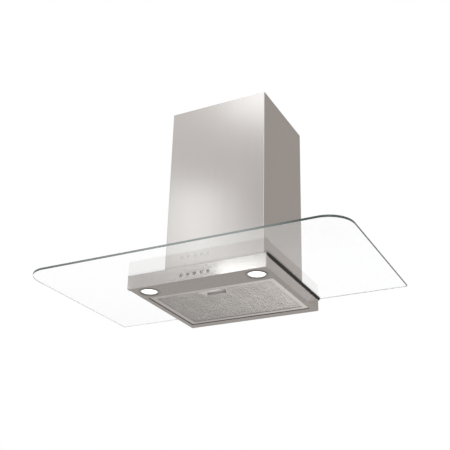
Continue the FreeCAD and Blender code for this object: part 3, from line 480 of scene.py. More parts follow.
class NodeMaker:
    """Short calls that add nodes to the tree of a material or of the world."""

    def __init__(self, tree: bpy.types.NodeTree) -> None:
        """Empties the tree.

        Args:
            tree: where the nodes go.
        """
        self.nodes = tree.nodes
        self.links = tree.links
        self.nodes.clear()

    def feed(self, node: bpy.types.Node, socket: str | int, value: object) -> None:
        """Links a socket to an output, or sets its own value.

        Args:
            node: the node whose input is fed.
            socket: name or number of the input.
            value: another node's output, or a plain value.
        """
        if isinstance(value, Socket):
            self.links.new(value, node.inputs[socket])
        else:
            node.inputs[socket].default_value = value

    def span(self, value: Socket, low: float, high: float, start: float = 0.0,
             end: float = 1.0, smooth: bool = False) -> Socket:
        """A value from start to end, moved onto the range from low to high and held there.

        Args:
            value: what is moved.
            low: result at start.
            high: result at end.
            start: value that gives low.
            end: value that gives high.
            smooth: eases the way at both ends instead of going straight.

        Returns:
            The moved value.
        """
        span = self.nodes.new("ShaderNodeMapRange")
        span.interpolation_type = "SMOOTHSTEP" if smooth else "LINEAR"
        self.feed(span, "Value", value)
        for socket, number in (("From Min", start), ("From Max", end), ("To Min", low), ("To Max", high)):
            span.inputs[socket].default_value = number
        return span.outputs["Result"]

    def maths(self, kind: str, first: object, second: object) -> Socket:
        """One step of arithmetic.

        Args:
            kind: the operation's name.
            first: an output or a number.
            second: an output or a number.

        Returns:
            The result.
        """
        step = self.nodes.new("ShaderNodeMath")
        step.operation = kind
        self.feed(step, 0, first)
        self.feed(step, 1, second)
        return step.outputs[0]

    def tint(self, factor: Socket, first: object, second: object) -> Socket:
        """A colour between two.

        Args:
            factor: 0 for the first colour, 1 for the second.
            first: an output or a colour.
            second: an output or a colour.

        Returns:
            The mixed colour.
        """
        mix = self.nodes.new("ShaderNodeMix")
        mix.data_type = "RGBA"
        self.feed(mix, "Factor", factor)
        self.feed(mix, 6, first if isinstance(first, Socket) else (*first, 1.0))
        self.feed(mix, 7, second if isinstance(second, Socket) else (*second, 1.0))
        return mix.outputs[2]

    def split(self, vector: Socket) -> bpy.types.Node:
        """Takes a vector apart.

        Args:
            vector: another node's output.

        Returns:
            A node with outputs X, Y and Z.
        """
        parts = self.nodes.new("ShaderNodeSeparateXYZ")
        self.feed(parts, "Vector", vector)
        return parts

    def between(self, kind: str, first: Socket, second: object = None) -> Socket:
        """The length of one vector, or the distance between two.

        Args:
            kind: LENGTH or DISTANCE.
            first: a vector.
            second: another vector, for a distance.

        Returns:
            The length or distance.
        """
        measure = self.nodes.new("ShaderNodeVectorMath")
        measure.operation = kind
        self.feed(measure, 0, first)
        if second is not None:
            self.feed(measure, 1, second)
        return measure.outputs["Value"]


class Recipe(NodeMaker):
    """The nodes of one material, built round a Principled shader."""

    def __init__(self, name: str) -> None:
        """Starts the material, with its shader, output and object coordinates.

        Args:
            name: the material's name.
        """
        self.material = bpy.data.materials.new(name)
        self.material.use_nodes = True
        super().__init__(self.material.node_tree)
        self.shader = self.nodes.new("ShaderNodeBsdfPrincipled")
        output = self.nodes.new("ShaderNodeOutputMaterial")
        self.links.new(self.shader.outputs["BSDF"], output.inputs["Surface"])
        self.place = self.nodes.new("ShaderNodeTexCoord").outputs["Object"]

    def shade(self, **values: object) -> None:
        """Sets the shader's sockets; an underscore in a name stands for a space."""
        for name, value in values.items():
            self.feed(self.shader, name.replace("_", " "), value)

    def stretched(self, scale: Triple) -> Socket:
        """Object coordinates times a scale on each axis.

        Args:
            scale: factors along x, y and z.

        Returns:
            The scaled coordinates.
        """
        mapping = self.nodes.new("ShaderNodeMapping")
        self.feed(mapping, "Vector", self.place)
        mapping.inputs["Scale"].default_value = scale
        return mapping.outputs["Vector"]

    def noise(self, scale: Triple, detail: float = 2.0, roughness: float = 0.5,
              warp: float = 0.0) -> Socket:
        """Soft noise.

        Args:
            scale: lumps a metre along x, y and z.
            detail: how many finer layers it has.
            roughness: how strong they are.
            warp: how far it is bent.

        Returns:
            The noise, between 0 and 1.
        """
        noise = self.nodes.new("ShaderNodeTexNoise")
        self.feed(noise, "Vector", self.stretched(scale))
        noise.inputs["Scale"].default_value = 1.0
        noise.inputs["Detail"].default_value = detail
        noise.inputs["Roughness"].default_value = roughness
        noise.inputs["Distortion"].default_value = warp
        return noise.outputs["Fac"]

    def cells(self, scale: float) -> bpy.types.Node:
        """Cells, each with a colour of its own, split into red, green and blue.

        Args:
            scale: cells a metre.

        Returns:
            A node with outputs Red, Green and Blue.
        """
        cells = self.nodes.new("ShaderNodeTexVoronoi")
        self.feed(cells, "Vector", self.place)
        cells.inputs["Scale"].default_value = scale
        colours = self.nodes.new("ShaderNodeSeparateColor")
        self.feed(colours, "Color", cells.outputs["Color"])
        return colours

    def part(self, which: str) -> Socket:
        """One of the object coordinates, X, Y or Z."""
        return self.split(self.place).outputs[which]

    def bump(self, height: Socket, distance: float, strength: float) -> Socket:
        """A normal tilted by a height.

        Args:
            height: between 0 and 1.
            distance: metres from low to high.
            strength: share of the tilt that is used.

        Returns:
            The tilted normal.
        """
        bump = self.nodes.new("ShaderNodeBump")
        self.feed(bump, "Height", height)
        bump.inputs["Distance"].default_value = distance
        bump.inputs["Strength"].default_value = strength
        return bump.outputs["Normal"]


def scaled(colour: Colour, factor: float) -> Colour:
    """A colour made lighter or darker."""
    return (colour[0] * factor, colour[1] * factor, colour[2] * factor)


class Grain(Enum):
    """Which way a sheet was brushed: streaks a metre along x, y and z, and the turn of its highlight."""

    LONG = ((4.0, 4.0, 1100.0), 0.25)
    TALL = ((1100.0, 1100.0, 4.0), 0.0)
    LEVEL = ((4.0, 1100.0, 1100.0), 0.25)

    def bands(self) -> Triple:
        """The broad bands that rolling left along the same grain."""
        return tuple(0.5 if step < 10 else 0.12 * step for step in self.value[0])


@dataclass(frozen=True)
class BrushedSteel:
    """Stainless sheet with fine straight brushing, whose highlights spread across the grain."""

    name: str
    grain: Grain
    colour: Colour = (0.61, 0.585, 0.572)
    polish: Pair = (0.16, 0.24)
    stretch: float = 0.55
    mapped: bool = True
    tones: Pair = (0.975, 1.02)
    band_tone: float = 1.03
    band_share: float = 0.4
    wear: Pair = (-0.008, 0.012)
    depth: float = 0.00002

    def build(self) -> bpy.types.Material:
        """Brushing in colour, roughness and height, over slow patches left by cleaning.

        Returns:
            The material.
        """
        recipe = Recipe(self.name)
        scale, turn = self.grain.value
        streaks = recipe.noise(scale, detail=3.0, roughness=0.6)
        patches = recipe.noise((9.0, 9.0, 7.0), detail=2.0, warp=0.6)
        tone = recipe.tint(recipe.span(streaks, 0.0, 1.0, 0.3, 0.7), scaled(self.colour, self.tones[0]),
                           scaled(self.colour, self.tones[1]))
        rolled = recipe.noise(self.grain.bands(), detail=1.0)
        worn = recipe.tint(recipe.span(rolled, 0.0, self.band_share, 0.4, 0.7), tone,
                           scaled(self.colour, self.band_tone))
        gloss = recipe.maths("ADD", recipe.span(streaks, *self.polish, 0.25, 0.75),
                           recipe.span(patches, *self.wear, 0.3, 0.7))
        recipe.shade(Base_Color=worn, Metallic=1.0, Roughness=gloss, Anisotropic=self.stretch,
                     Anisotropic_Rotation=turn, Normal=recipe.bump(streaks, self.depth, 0.2))
        if self.mapped:
            tangent = recipe.nodes.new("ShaderNodeTangent")
            tangent.direction_type = "UV_MAP"
            tangent.uv_map = "grain"
            recipe.feed(recipe.shader, "Tangent", tangent.outputs["Tangent"])
        return recipe.material


@dataclass(frozen=True)
class GalvanisedSheet:
    """Zinc-coated sheet with its spangle of crystals and dull grey patches."""

    name: str = "galvanised sheet"
    colour: Colour = (0.55, 0.56, 0.57)
    crystals: float = 95.0
    gloss: Pair = (0.36, 0.56)
    depth: float = 0.00003

    def build(self) -> bpy.types.Material:
        """Crystals differ in tone and gloss, and a fine noise dulls them.

        Returns:
            The material.
        """
        recipe = Recipe(self.name)
        crystals = recipe.cells(self.crystals)
        dull = recipe.noise((30.0, 30.0, 30.0), detail=4.0)
        tone = recipe.tint(crystals.outputs["Red"], scaled(self.colour, 0.84), scaled(self.colour, 1.1))
        tone = recipe.tint(recipe.span(dull, 0.0, 0.55, 0.45, 0.8), tone, scaled(self.colour, 0.9))
        gloss = recipe.span(crystals.outputs["Green"], *self.gloss)
        recipe.shade(Base_Color=tone, Metallic=0.9, Roughness=gloss,
                     Normal=recipe.bump(recipe.noise((400.0, 400.0, 400.0)), self.depth, 0.4))
        return recipe.material


@dataclass(frozen=True)
class CastSurface:
    """Moulded plastic, paint, rubber or ceramic: a colour with mottling and a fine texture."""

    name: str
    colour: Colour
    gloss: Pair = (0.38, 0.52)
    metal: float = 0.0
    texture: float = 700.0
    depth: float = 0.00004
    mottle: float = 0.06
    coat: float = 0.0
    shine: float = 0.5

    def build(self) -> bpy.types.Material:
        """Mottling in the colour, wear in the gloss, and a fine texture in the height.

        Returns:
            The material.
        """
        recipe = Recipe(self.name)
        cloud = recipe.noise((22.0, 22.0, 22.0), detail=4.0)
        grit = recipe.noise((self.texture,) * 3, detail=2.0)
        tone = recipe.tint(recipe.span(cloud, 0.0, 1.0, 0.3, 0.7), scaled(self.colour, 1 - self.mottle),
                           scaled(self.colour, 1 + self.mottle))
        tone = recipe.tint(recipe.span(grit, 0.0, 0.35, 0.4, 0.8), tone, scaled(self.colour, 0.9))
        recipe.shade(Base_Color=tone, Metallic=self.metal, Roughness=recipe.span(grit, *self.gloss, 0.3, 0.7),
                     Coat_Weight=self.coat, Coat_Roughness=0.25, Specular_IOR_Level=self.shine,
                     Normal=recipe.bump(grit, self.depth, 0.6))
        return recipe.material


@dataclass(frozen=True)
class SmoothMetal(CastSurface):
    """Plated, ground or satin metal: its texture is hardly deep enough to feel."""

    metal: float = 1.0
    depth: float = 0.00001


@dataclass(frozen=True)
class ClearGlass:
    """Toughened clear float glass, seen through its faces."""

    name: str = "clear pane"
    colour: Colour = (0.995, 1.0, 0.998)
    haze: float = 0.012
    depth: float = 0.00002

    def build(self) -> bpy.types.Material:
        """Clear glass with the faintest waviness from rolling and a little dust in its gloss.

        Returns:
            The material.
        """
        recipe = Recipe(self.name)
        haze = recipe.noise((6.0, 6.0, 6.0), detail=3.0)
        tone = recipe.tint(haze, self.colour, scaled(self.colour, 0.995))
        recipe.shade(Base_Color=tone, Roughness=recipe.span(haze, 0.0, self.haze, 0.45, 0.8), IOR=1.5,
                     Transmission_Weight=1.0, Normal=recipe.bump(haze, self.depth, 0.3))
        return recipe.material


@dataclass(frozen=True)
class GlassEdgeWithPaintedLight:
    """The pane's ground and polished edge, where the glass shows its own green, with painted reflection and shade over
    it.
    """

    name: str = "ground glass edge, painted reflection and shade"
    ends: Colour = (0.11, 0.16, 0.145)
    # middle: a painted reflection of the lit body and chimney in the front edge
    middle: Colour = (0.74, 0.83, 0.80)
    # left and right: painted light and shade, the back edges pale on the left and dark on the right
    left: Colour = (0.84, 0.90, 0.88)
    right: Colour = (0.22, 0.27, 0.25)
    fade_left: Pair = (-0.44, -0.05)
    fade_right: Pair = (0.19, 0.36)
    fade_back: Pair = (-0.44, -0.39)
    clear: float = 0.62
    gloss: Pair = (0.12, 0.26)
    depth: float = 0.00003

    def build(self) -> bpy.types.Material:
        """The front edge is dark green at its ends, the glass's own green, and lighter in its middle, a painted
        reflection of the lit steel behind. Behind it the edge goes from pale on the left to dark on the right, painted
        light and shade.

        Returns:
            The material.
        """
        recipe = Recipe(self.name)
        wheel = recipe.noise((160.0, 160.0, 900.0), detail=3.0)
        along = recipe.part("X")
        rightward = recipe.span(along, 0.0, 1.0, *self.fade_right)
        leftward = recipe.span(along, 0.9, 0.0, *self.fade_left)
        # painted reflection: the front edge lighter in its middle than at its dark green ends
        green = recipe.tint(recipe.maths("MAXIMUM", rightward, leftward), self.middle, self.ends)
        green = recipe.tint(recipe.span(wheel, 0.0, 0.2, 0.35, 0.75), green, self.middle)
        # painted light and shade: behind the front edge, pale on the left and dark on the right
        sides = recipe.tint(recipe.span(along, 0.0, 1.0, -0.2, 0.2), self.left, self.right)
        green = recipe.tint(recipe.span(recipe.part("Y"), 0.0, 1.0, *self.fade_back), green, sides)
        recipe.shade(Base_Color=green, Roughness=recipe.span(wheel, *self.gloss, 0.3, 0.7), IOR=1.5,
                     Transmission_Weight=self.clear, Normal=recipe.bump(wheel, self.depth, 0.5))
        return recipe.material


@dataclass(frozen=True)
class GlowingLens:
    """Frosted lamp lens with the lamp lit behind it."""

    name: str = "lit lamp lens"
    warm: Colour = (1.0, 0.985, 0.95)
    radius: float = 0.0237
    centre: Pair = (0.157, -0.323)
    rings: float = 2600.0
    ring_glow: float = 0.03
    glow: Pair = (1.1, 0.05)
    depth: float = 0.00003

    def build(self) -> bpy.types.Material:
        """Glow that is strongest in the middle, broken by the frosting's fine rings.

        Returns:
            The material.
        """
        recipe = Recipe(self.name)
        away_x = recipe.maths("SUBTRACT", recipe.maths("ABSOLUTE", recipe.part("X"), 0.0), self.centre[0])
        away_y = recipe.maths("SUBTRACT", recipe.part("Y"), self.centre[1])
        square = recipe.maths("ADD", recipe.maths("MULTIPLY", away_x, away_x),
                            recipe.maths("MULTIPLY", away_y, away_y))
        radius = recipe.maths("POWER", square, 0.5)
        rings = recipe.maths("SINE", recipe.maths("MULTIPLY", radius, self.rings), 0.0)
        frost = recipe.noise((900.0, 900.0, 900.0))
        glow = recipe.span(radius, *self.glow, 0.7 * self.radius, 0.98 * self.radius)
        glow = recipe.maths("ADD", glow, recipe.span(rings, -self.ring_glow, self.ring_glow, -1.0, 1.0))
        recipe.shade(Base_Color=recipe.tint(frost, (0.60, 0.59, 0.57), (0.68, 0.67, 0.65)),
                     Roughness=recipe.span(frost, 0.32, 0.5), Emission_Color=(*self.warm, 1.0),
                     Emission_Strength=glow, Normal=recipe.bump(frost, self.depth, 0.5))
        return recipe.material


@dataclass(frozen=True)
class CircuitBoard:
    """Green solder resist with copper runs showing through and pale pads."""

    name: str = "solder resist"
    green: Colour = (0.02, 0.13, 0.05)
    over_copper: Colour = (0.05, 0.24, 0.09)
    depth: float = 0.00004

    def build(self) -> bpy.types.Material:
        """Square-cut runs from stepped noise, lighter than the board, under a clear lacquer.

        Returns:
            The material.
        """
        recipe = Recipe(self.name)
        runs = recipe.span(recipe.noise((260.0, 40.0, 40.0), detail=0.0), 0.0, 1.0, 0.54, 0.56)
        across = recipe.span(recipe.noise((40.0, 40.0, 260.0), detail=0.0), 0.0, 1.0, 0.58, 0.6)
        copper = recipe.maths("MAXIMUM", runs, across)
        tone = recipe.tint(copper, self.green, self.over_copper)
        recipe.shade(Base_Color=tone, Roughness=recipe.span(copper, 0.3, 0.42), Coat_Weight=0.4,
                     Coat_Roughness=0.12, Normal=recipe.bump(copper, self.depth, 0.6))
        return recipe.material


@dataclass(frozen=True)
class WoundIron:
    """Stacked laminations of a motor, with copper winding showing at the ends."""

    name: str = "laminated iron"
    iron: Colour = (0.25, 0.23, 0.21)
    copper: Colour = (0.52, 0.24, 0.12)
    stack: Pair = (0.032, 0.064)
    sheets: float = 12566.0
    depth: float = 0.00005

    def build(self) -> bpy.types.Material:
        """Sheets along x inside the stack, half a millimetre for each full turn of a sine, and turns of wire
        outside it.

        Returns:
            The material.
        """
        recipe = Recipe(self.name)
        along = recipe.part("X")
        wave = recipe.maths("SINE", recipe.maths("MULTIPLY", along, self.sheets), 0.0)
        sheets = recipe.span(wave, 0.0, 1.0, -1.0, 1.0)
        wire = recipe.noise((120.0, 900.0, 900.0), detail=2.0)
        inside = recipe.maths("MULTIPLY", recipe.span(along, 0.0, 1.0, self.stack[0], self.stack[0] + 0.0005),
                            recipe.span(along, 1.0, 0.0, self.stack[1] - 0.0005, self.stack[1]))
        iron = recipe.tint(sheets, scaled(self.iron, 0.7), self.iron)
        winding = recipe.tint(wire, scaled(self.copper, 0.6), self.copper)
        recipe.shade(Base_Color=recipe.tint(inside, winding, iron), Metallic=0.85,
                     Roughness=recipe.span(wire, 0.35, 0.55), Normal=recipe.bump(sheets, self.depth, 0.6))
        return recipe.material


# ------------------------------------------------------------------ studio

@dataclass(frozen=True)
class Patch:
    """A soft round place in the room that reflections see brighter or darker than the rest. Its lift is full
    within a tenth of its radius and fades out at the radius."""

    towards: Triple
    radius: float
    lift: float


@dataclass(frozen=True)
class Softbox:
    """A soft rectangular lamp that looks at the hood, unseen by the camera. A brightness of 1 looks white."""

    name: str
    place: Triple
    size: Pair
    brightness: float
    colour: Colour = (0.95, 0.99, 1.0)
    mirrored: bool = True
    aim: Triple = (0.0, -0.25, 0.15)

    def hang(self) -> None:
        """Hangs the lamp. Its power is its brightness times pi times its area."""
        data = bpy.data.lights.new(self.name, "AREA")
        data.shape = "RECTANGLE"
        data.size, data.size_y = self.size
        data.energy = self.brightness * math.pi * self.size[0] * self.size[1]
        data.color = self.colour
        lamp = bpy.data.objects.new(self.name, data)
        lamp.location = self.place
        lamp.rotation_euler = (Vector(self.place) - Vector(self.aim)).to_track_quat("Z", "Y").to_euler()
        lamp.visible_camera = False
        lamp.visible_glossy = self.mirrored
        bpy.context.scene.collection.objects.link(lamp)


@dataclass
class Studio:
    """Camera, lamps, pale floor and white surroundings, in metres. The room's brightnesses are what
    reflections see: in front it grows with height, and behind and to the sides it is dimmer."""

    azimuth: float = 27.566
    elevation: float = -25.197
    roll: float = 1.557
    target: Triple = (0.0253, -0.250, 0.1557)
    distance: float = 2.271
    lens: float = 66.6
    film_width: float = 36.0
    nearest: float = 0.05
    floor_height: float = -1.45
    floor_fade: Pair = (1.2, 3.0)
    front_low_high: Pair = (0.60, 0.89)
    front_heights: Pair = (0.26, 0.60)
    behind: float = 0.46
    front_to_back: Pair = (-0.6, 0.8)
    below: Pair = (-0.36, -0.12)
    spread_light: float = 0.88
    warm: Colour = (1.0, 0.935, 0.88)
    warm_front_back: Pair = (0.35, 1.0)
    warm_reach: Pair = (-0.8, 0.8)
    patches: tuple[Patch, ...] = (
        Patch((-0.36, -0.82, 0.44), 0.15, -0.22),
        Patch((0.30, -0.85, 0.43), 0.36, 1.6),
        Patch((0.93, -0.05, 0.36), 0.42, -0.5))
    lamps: tuple[Softbox, ...] = (
        Softbox("low_softbox", (-0.78, -2.27, 0.75), (0.28, 0.20), 3.4),
        Softbox("left_softbox", (-1.54, -2.12, 0.78), (0.18, 0.20), 1.2),
        Softbox("middle_softbox", (-1.11, -2.10, 1.15), (0.36, 0.44), 0.98),
        Softbox("high_softbox", (-0.68, -2.10, 2.12), (0.50, 0.66), 1.2),
        Softbox("fill_softbox", (0.46, -0.16, -0.42), (0.30, 0.30), 16.0, (1.0, 0.98, 0.96), False))

    def build(self) -> None:
        """Sets up everything round the hood."""
        self.place_camera()
        self.lay_floor()
        self.light_world()
        for lamp in self.lamps:
            lamp.hang()

    def place_camera(self) -> None:
        """Stands the camera at the fitted distance behind its target, turned by its roll."""
        a, e, r = (math.radians(v) for v in (self.azimuth, self.elevation, self.roll))
        back = Vector((math.sin(a) * math.cos(e), -math.cos(a) * math.cos(e), math.sin(e)))
        right = (-back).cross(Vector((0.0, 0.0, 1.0))).normalized()
        up = right.cross(-back)
        tilted_right = right * math.cos(r) + up * math.sin(r)
        tilted_up = up * math.cos(r) - right * math.sin(r)
        data = bpy.data.cameras.new("studio_camera")
        data.lens = self.lens
        data.sensor_width = self.film_width
        data.clip_start = self.nearest
        camera = bpy.data.objects.new("studio_camera", data)
        bpy.context.scene.collection.objects.link(camera)
        turn = Matrix((tilted_right, tilted_up, back)).transposed().to_4x4()
        camera.matrix_world = Matrix.Translation(Vector(self.target) + back * self.distance) @ turn
        bpy.context.scene.camera = camera

    def lay_floor(self) -> None:
        """A wide pale disc under the hood that fades out at its border."""
        angle = np.linspace(0, 2 * math.pi, 96, endpoint=False)
        radius = np.linspace(0.0, self.floor_fade[1], 12)
        points = np.stack([np.outer(radius, np.cos(angle)), np.outer(radius, np.sin(angle)),
                           np.full((len(radius), len(angle)), self.floor_height)], axis=-1)
        shell = grid(points, close_v=True)
        mesh = bpy.data.meshes.new("studio_floor")
        mesh.from_pydata(shell.points.tolist(), [], shell.faces[0][:, ::-1].tolist())
        recipe = Recipe("studio floor")
        grit = recipe.noise((3.0, 3.0, 3.0))
        recipe.shade(Base_Color=recipe.tint(grit, (0.93, 0.93, 0.93), (0.95, 0.95, 0.95)),
                     Roughness=recipe.span(grit, 0.75, 0.85))
        away = recipe.between("LENGTH", recipe.stretched((1.0, 1.0, 0.0)))
        recipe.shade(Alpha=recipe.span(away, 1.0, 0.0, *self.floor_fade))
        mesh.materials.append(recipe.material)
        floor = bpy.data.objects.new("studio_floor", mesh)
        bpy.context.scene.collection.objects.link(floor)

    def light_world(self) -> None:
        """White to the camera, even for scattered light, and the graded room in reflections."""
        world = bpy.data.worlds.new("studio")
        world.use_nodes = True
        maker = NodeMaker(world.node_tree)
        way = maker.nodes.new("ShaderNodeTexCoord").outputs["Generated"]
        parts = maker.split(way)
        below = maker.span(parts.outputs["Z"], 1.0, 0.0, *self.below, smooth=True)
        path = maker.nodes.new("ShaderNodeLightPath")
        mirrored = maker.maths("GREATER_THAN", path.outputs["Glossy Depth"], 0.5)
        scattered = path.outputs["Is Diffuse Ray"]
        straight = maker.maths("SUBTRACT", 1.0, scattered)
        seen = maker.maths("MULTIPLY", maker.maths("SUBTRACT", 1.0, mirrored), straight)
        room = self.room(maker, way, below)
        room = maker.maths("MULTIPLY", maker.maths("MULTIPLY", mirrored, straight), room)
        soft = maker.maths("MULTIPLY", scattered, self.spread_light)
        background = maker.nodes.new("ShaderNodeBackground")
        maker.feed(background, "Strength", maker.maths("ADD", seen, maker.maths("ADD", soft, room)))
        shade = maker.maths("MULTIPLY", maker.maths("SUBTRACT", 1.0, below), mirrored)
        warmth = maker.span(parts.outputs["Y"], *self.warm_front_back, *self.warm_reach, smooth=True)
        warm = maker.tint(maker.maths("MULTIPLY", shade, warmth), (1.0, 1.0, 1.0), self.warm)
        maker.feed(background, "Color", warm)
        maker.feed(maker.nodes.new("ShaderNodeOutputWorld"), "Surface", background.outputs[0])
        bpy.context.scene.world = world
        bpy.context.scene.view_settings.view_transform = "Standard"

    def room(self, maker: NodeMaker, way: Socket,
             below: Socket) -> Socket:
        """The room's brightness in one direction: front and back are mixed by y, the patches are added, and
        it rises to white below.

        Args:
            maker: the world's nodes.
            way: the direction.
            below: 1 for directions that look down, 0 for the others.

        Returns:
            The brightness.
        """
        parts = maker.split(way)
        front = maker.span(parts.outputs["Z"], *self.front_low_high, *self.front_heights, smooth=True)
        share = maker.span(parts.outputs["Y"], 0.0, 1.0, *self.front_to_back, smooth=True)
        bright = maker.maths("ADD", maker.maths("MULTIPLY", share, self.behind),
                           maker.maths("MULTIPLY", maker.maths("SUBTRACT", 1.0, share), front))
        for patch in self.patches:
            gap = maker.between("DISTANCE", way, patch.towards)
            lift = maker.span(gap, patch.lift, 0.0, 0.1 * patch.radius, patch.radius, smooth=True)
            bright = maker.maths("ADD", bright, lift)
        short = maker.maths("SUBTRACT", 1.0, bright)
        return maker.maths("ADD", bright, maker.maths("MULTIPLY", below, short))


# ------------------------------------------------------------------ the hood

@dataclass
class GlassCanopy:
    """The flat pane with its rounded front corners, and the black seal between it and the body."""

    half_width: float = 450.0
    depth: float = 493.0
    thick: float = 6.0
    corner: float = 66.0
    arris: float = 0.7
    notch_half: float = 121.0
    notch_depth: float = 240.0
    notch_corner: float = 10.0
    screw_x: float = 133.0
    screw_y: Pair = (-215.0, -45.0)
    screw_hole: float = 5.0
    seal_half: float = 201.0
    seal_front: float = 349.8
    seal_back: float = 2.5
    seal_wide: float = 13.0
    seal_high: float = 4.4
    rib_depth: float = 0.22
    lip_wide: float = 4.5
    lip_high: float = 2.4
    lip_ends: Pair = (-362.0, -8.0)

    def make_pane(self) -> None:
        """The pane: a plate with ground edges."""
        w, d, n = self.half_width, self.depth, self.notch_half
        outline = rounded_path([
            (-w, -d, self.corner), (w, -d, self.corner), (w, 0, 0), (n, 0, 0),
            (n, -self.notch_depth, self.notch_corner), (-n, -self.notch_depth, self.notch_corner),
            (-n, 0, 0), (-w, 0, 0)], steps=20)
        holes = [circle(side * self.screw_x, y, self.screw_hole, 32)
                 for side in (-1, 1) for y in self.screw_y]
        shells = plate(outline, holes, 0.0, self.thick, self.arris, steps=2, rim_material=1)
        Part("glass_pane", shells, [ClearGlass().build(), GlassEdgeWithPaintedLight().build()], "canopy_glass",
             "hood", ("glass_canopy",)).make()

    def make_seal(self) -> None:
        """The seal: a strip with three ribs on its outer side, carried round three sides of the body, and a
        lip on either side. At inset i the strip runs at x = half - i and y = i - front."""
        share = np.linspace(0, 1, 25)
        ribs = self.rib_depth * (1 - np.cos(2 * math.pi * 3 * share))
        inset_of = np.concatenate([ribs, [self.seal_wide, self.seal_wide]])
        height = np.concatenate([self.seal_high * (share - 1), [0.0, -self.seal_high]])
        x, front = self.seal_half - inset_of, inset_of - self.seal_front
        back = np.full_like(x, -self.seal_back)
        shells = lofted([(-x, back), (-x, front), (x, front), (x, back)], height)
        for shell in self.lip():
            shells += [shell, shell.mirrored()]
        rubber = CastSurface("black seal", (0.018, 0.018, 0.018), gloss=(0.6, 0.78), shine=0.12).build()
        Part("glass_seal", shells, [rubber], "seal_rubber", "hood", ("glass_gasket",)).make()

    def lip(self) -> list[Shell]:
        """The right-hand lip under the pane's face: a strip with a round nose that widens over its first
        twentieth, where share is how far along y a station lies.

        Returns:
            The surfaces.
        """
        nose = np.linspace(0, math.pi / 2, 5)
        wide, high = self.lip_wide, self.lip_high
        bend = high * 0.45
        out = np.concatenate([[-0.3], [wide - 0.2, wide], wide - bend * (1 - np.cos(nose)), [-0.3]])
        height = np.concatenate([[0.0], [0.0, -0.2], -high + bend * (1 - np.sin(nose)), [-high]])
        share = np.array([0.0, 0.02, 0.05, 1.0])
        grown = np.array([0.35, 0.75, 1.0, 1.0])
        y = self.lip_ends[0] + share * (self.lip_ends[1] - self.lip_ends[0])
        x = self.seal_half + np.where(out > 0, out * grown[:, None], out)
        sections = np.stack([x, np.repeat(y[:, None], len(out), axis=1),
                             np.repeat(height[None, :], len(y), axis=0)], axis=-1)
        return carried(sections, False)


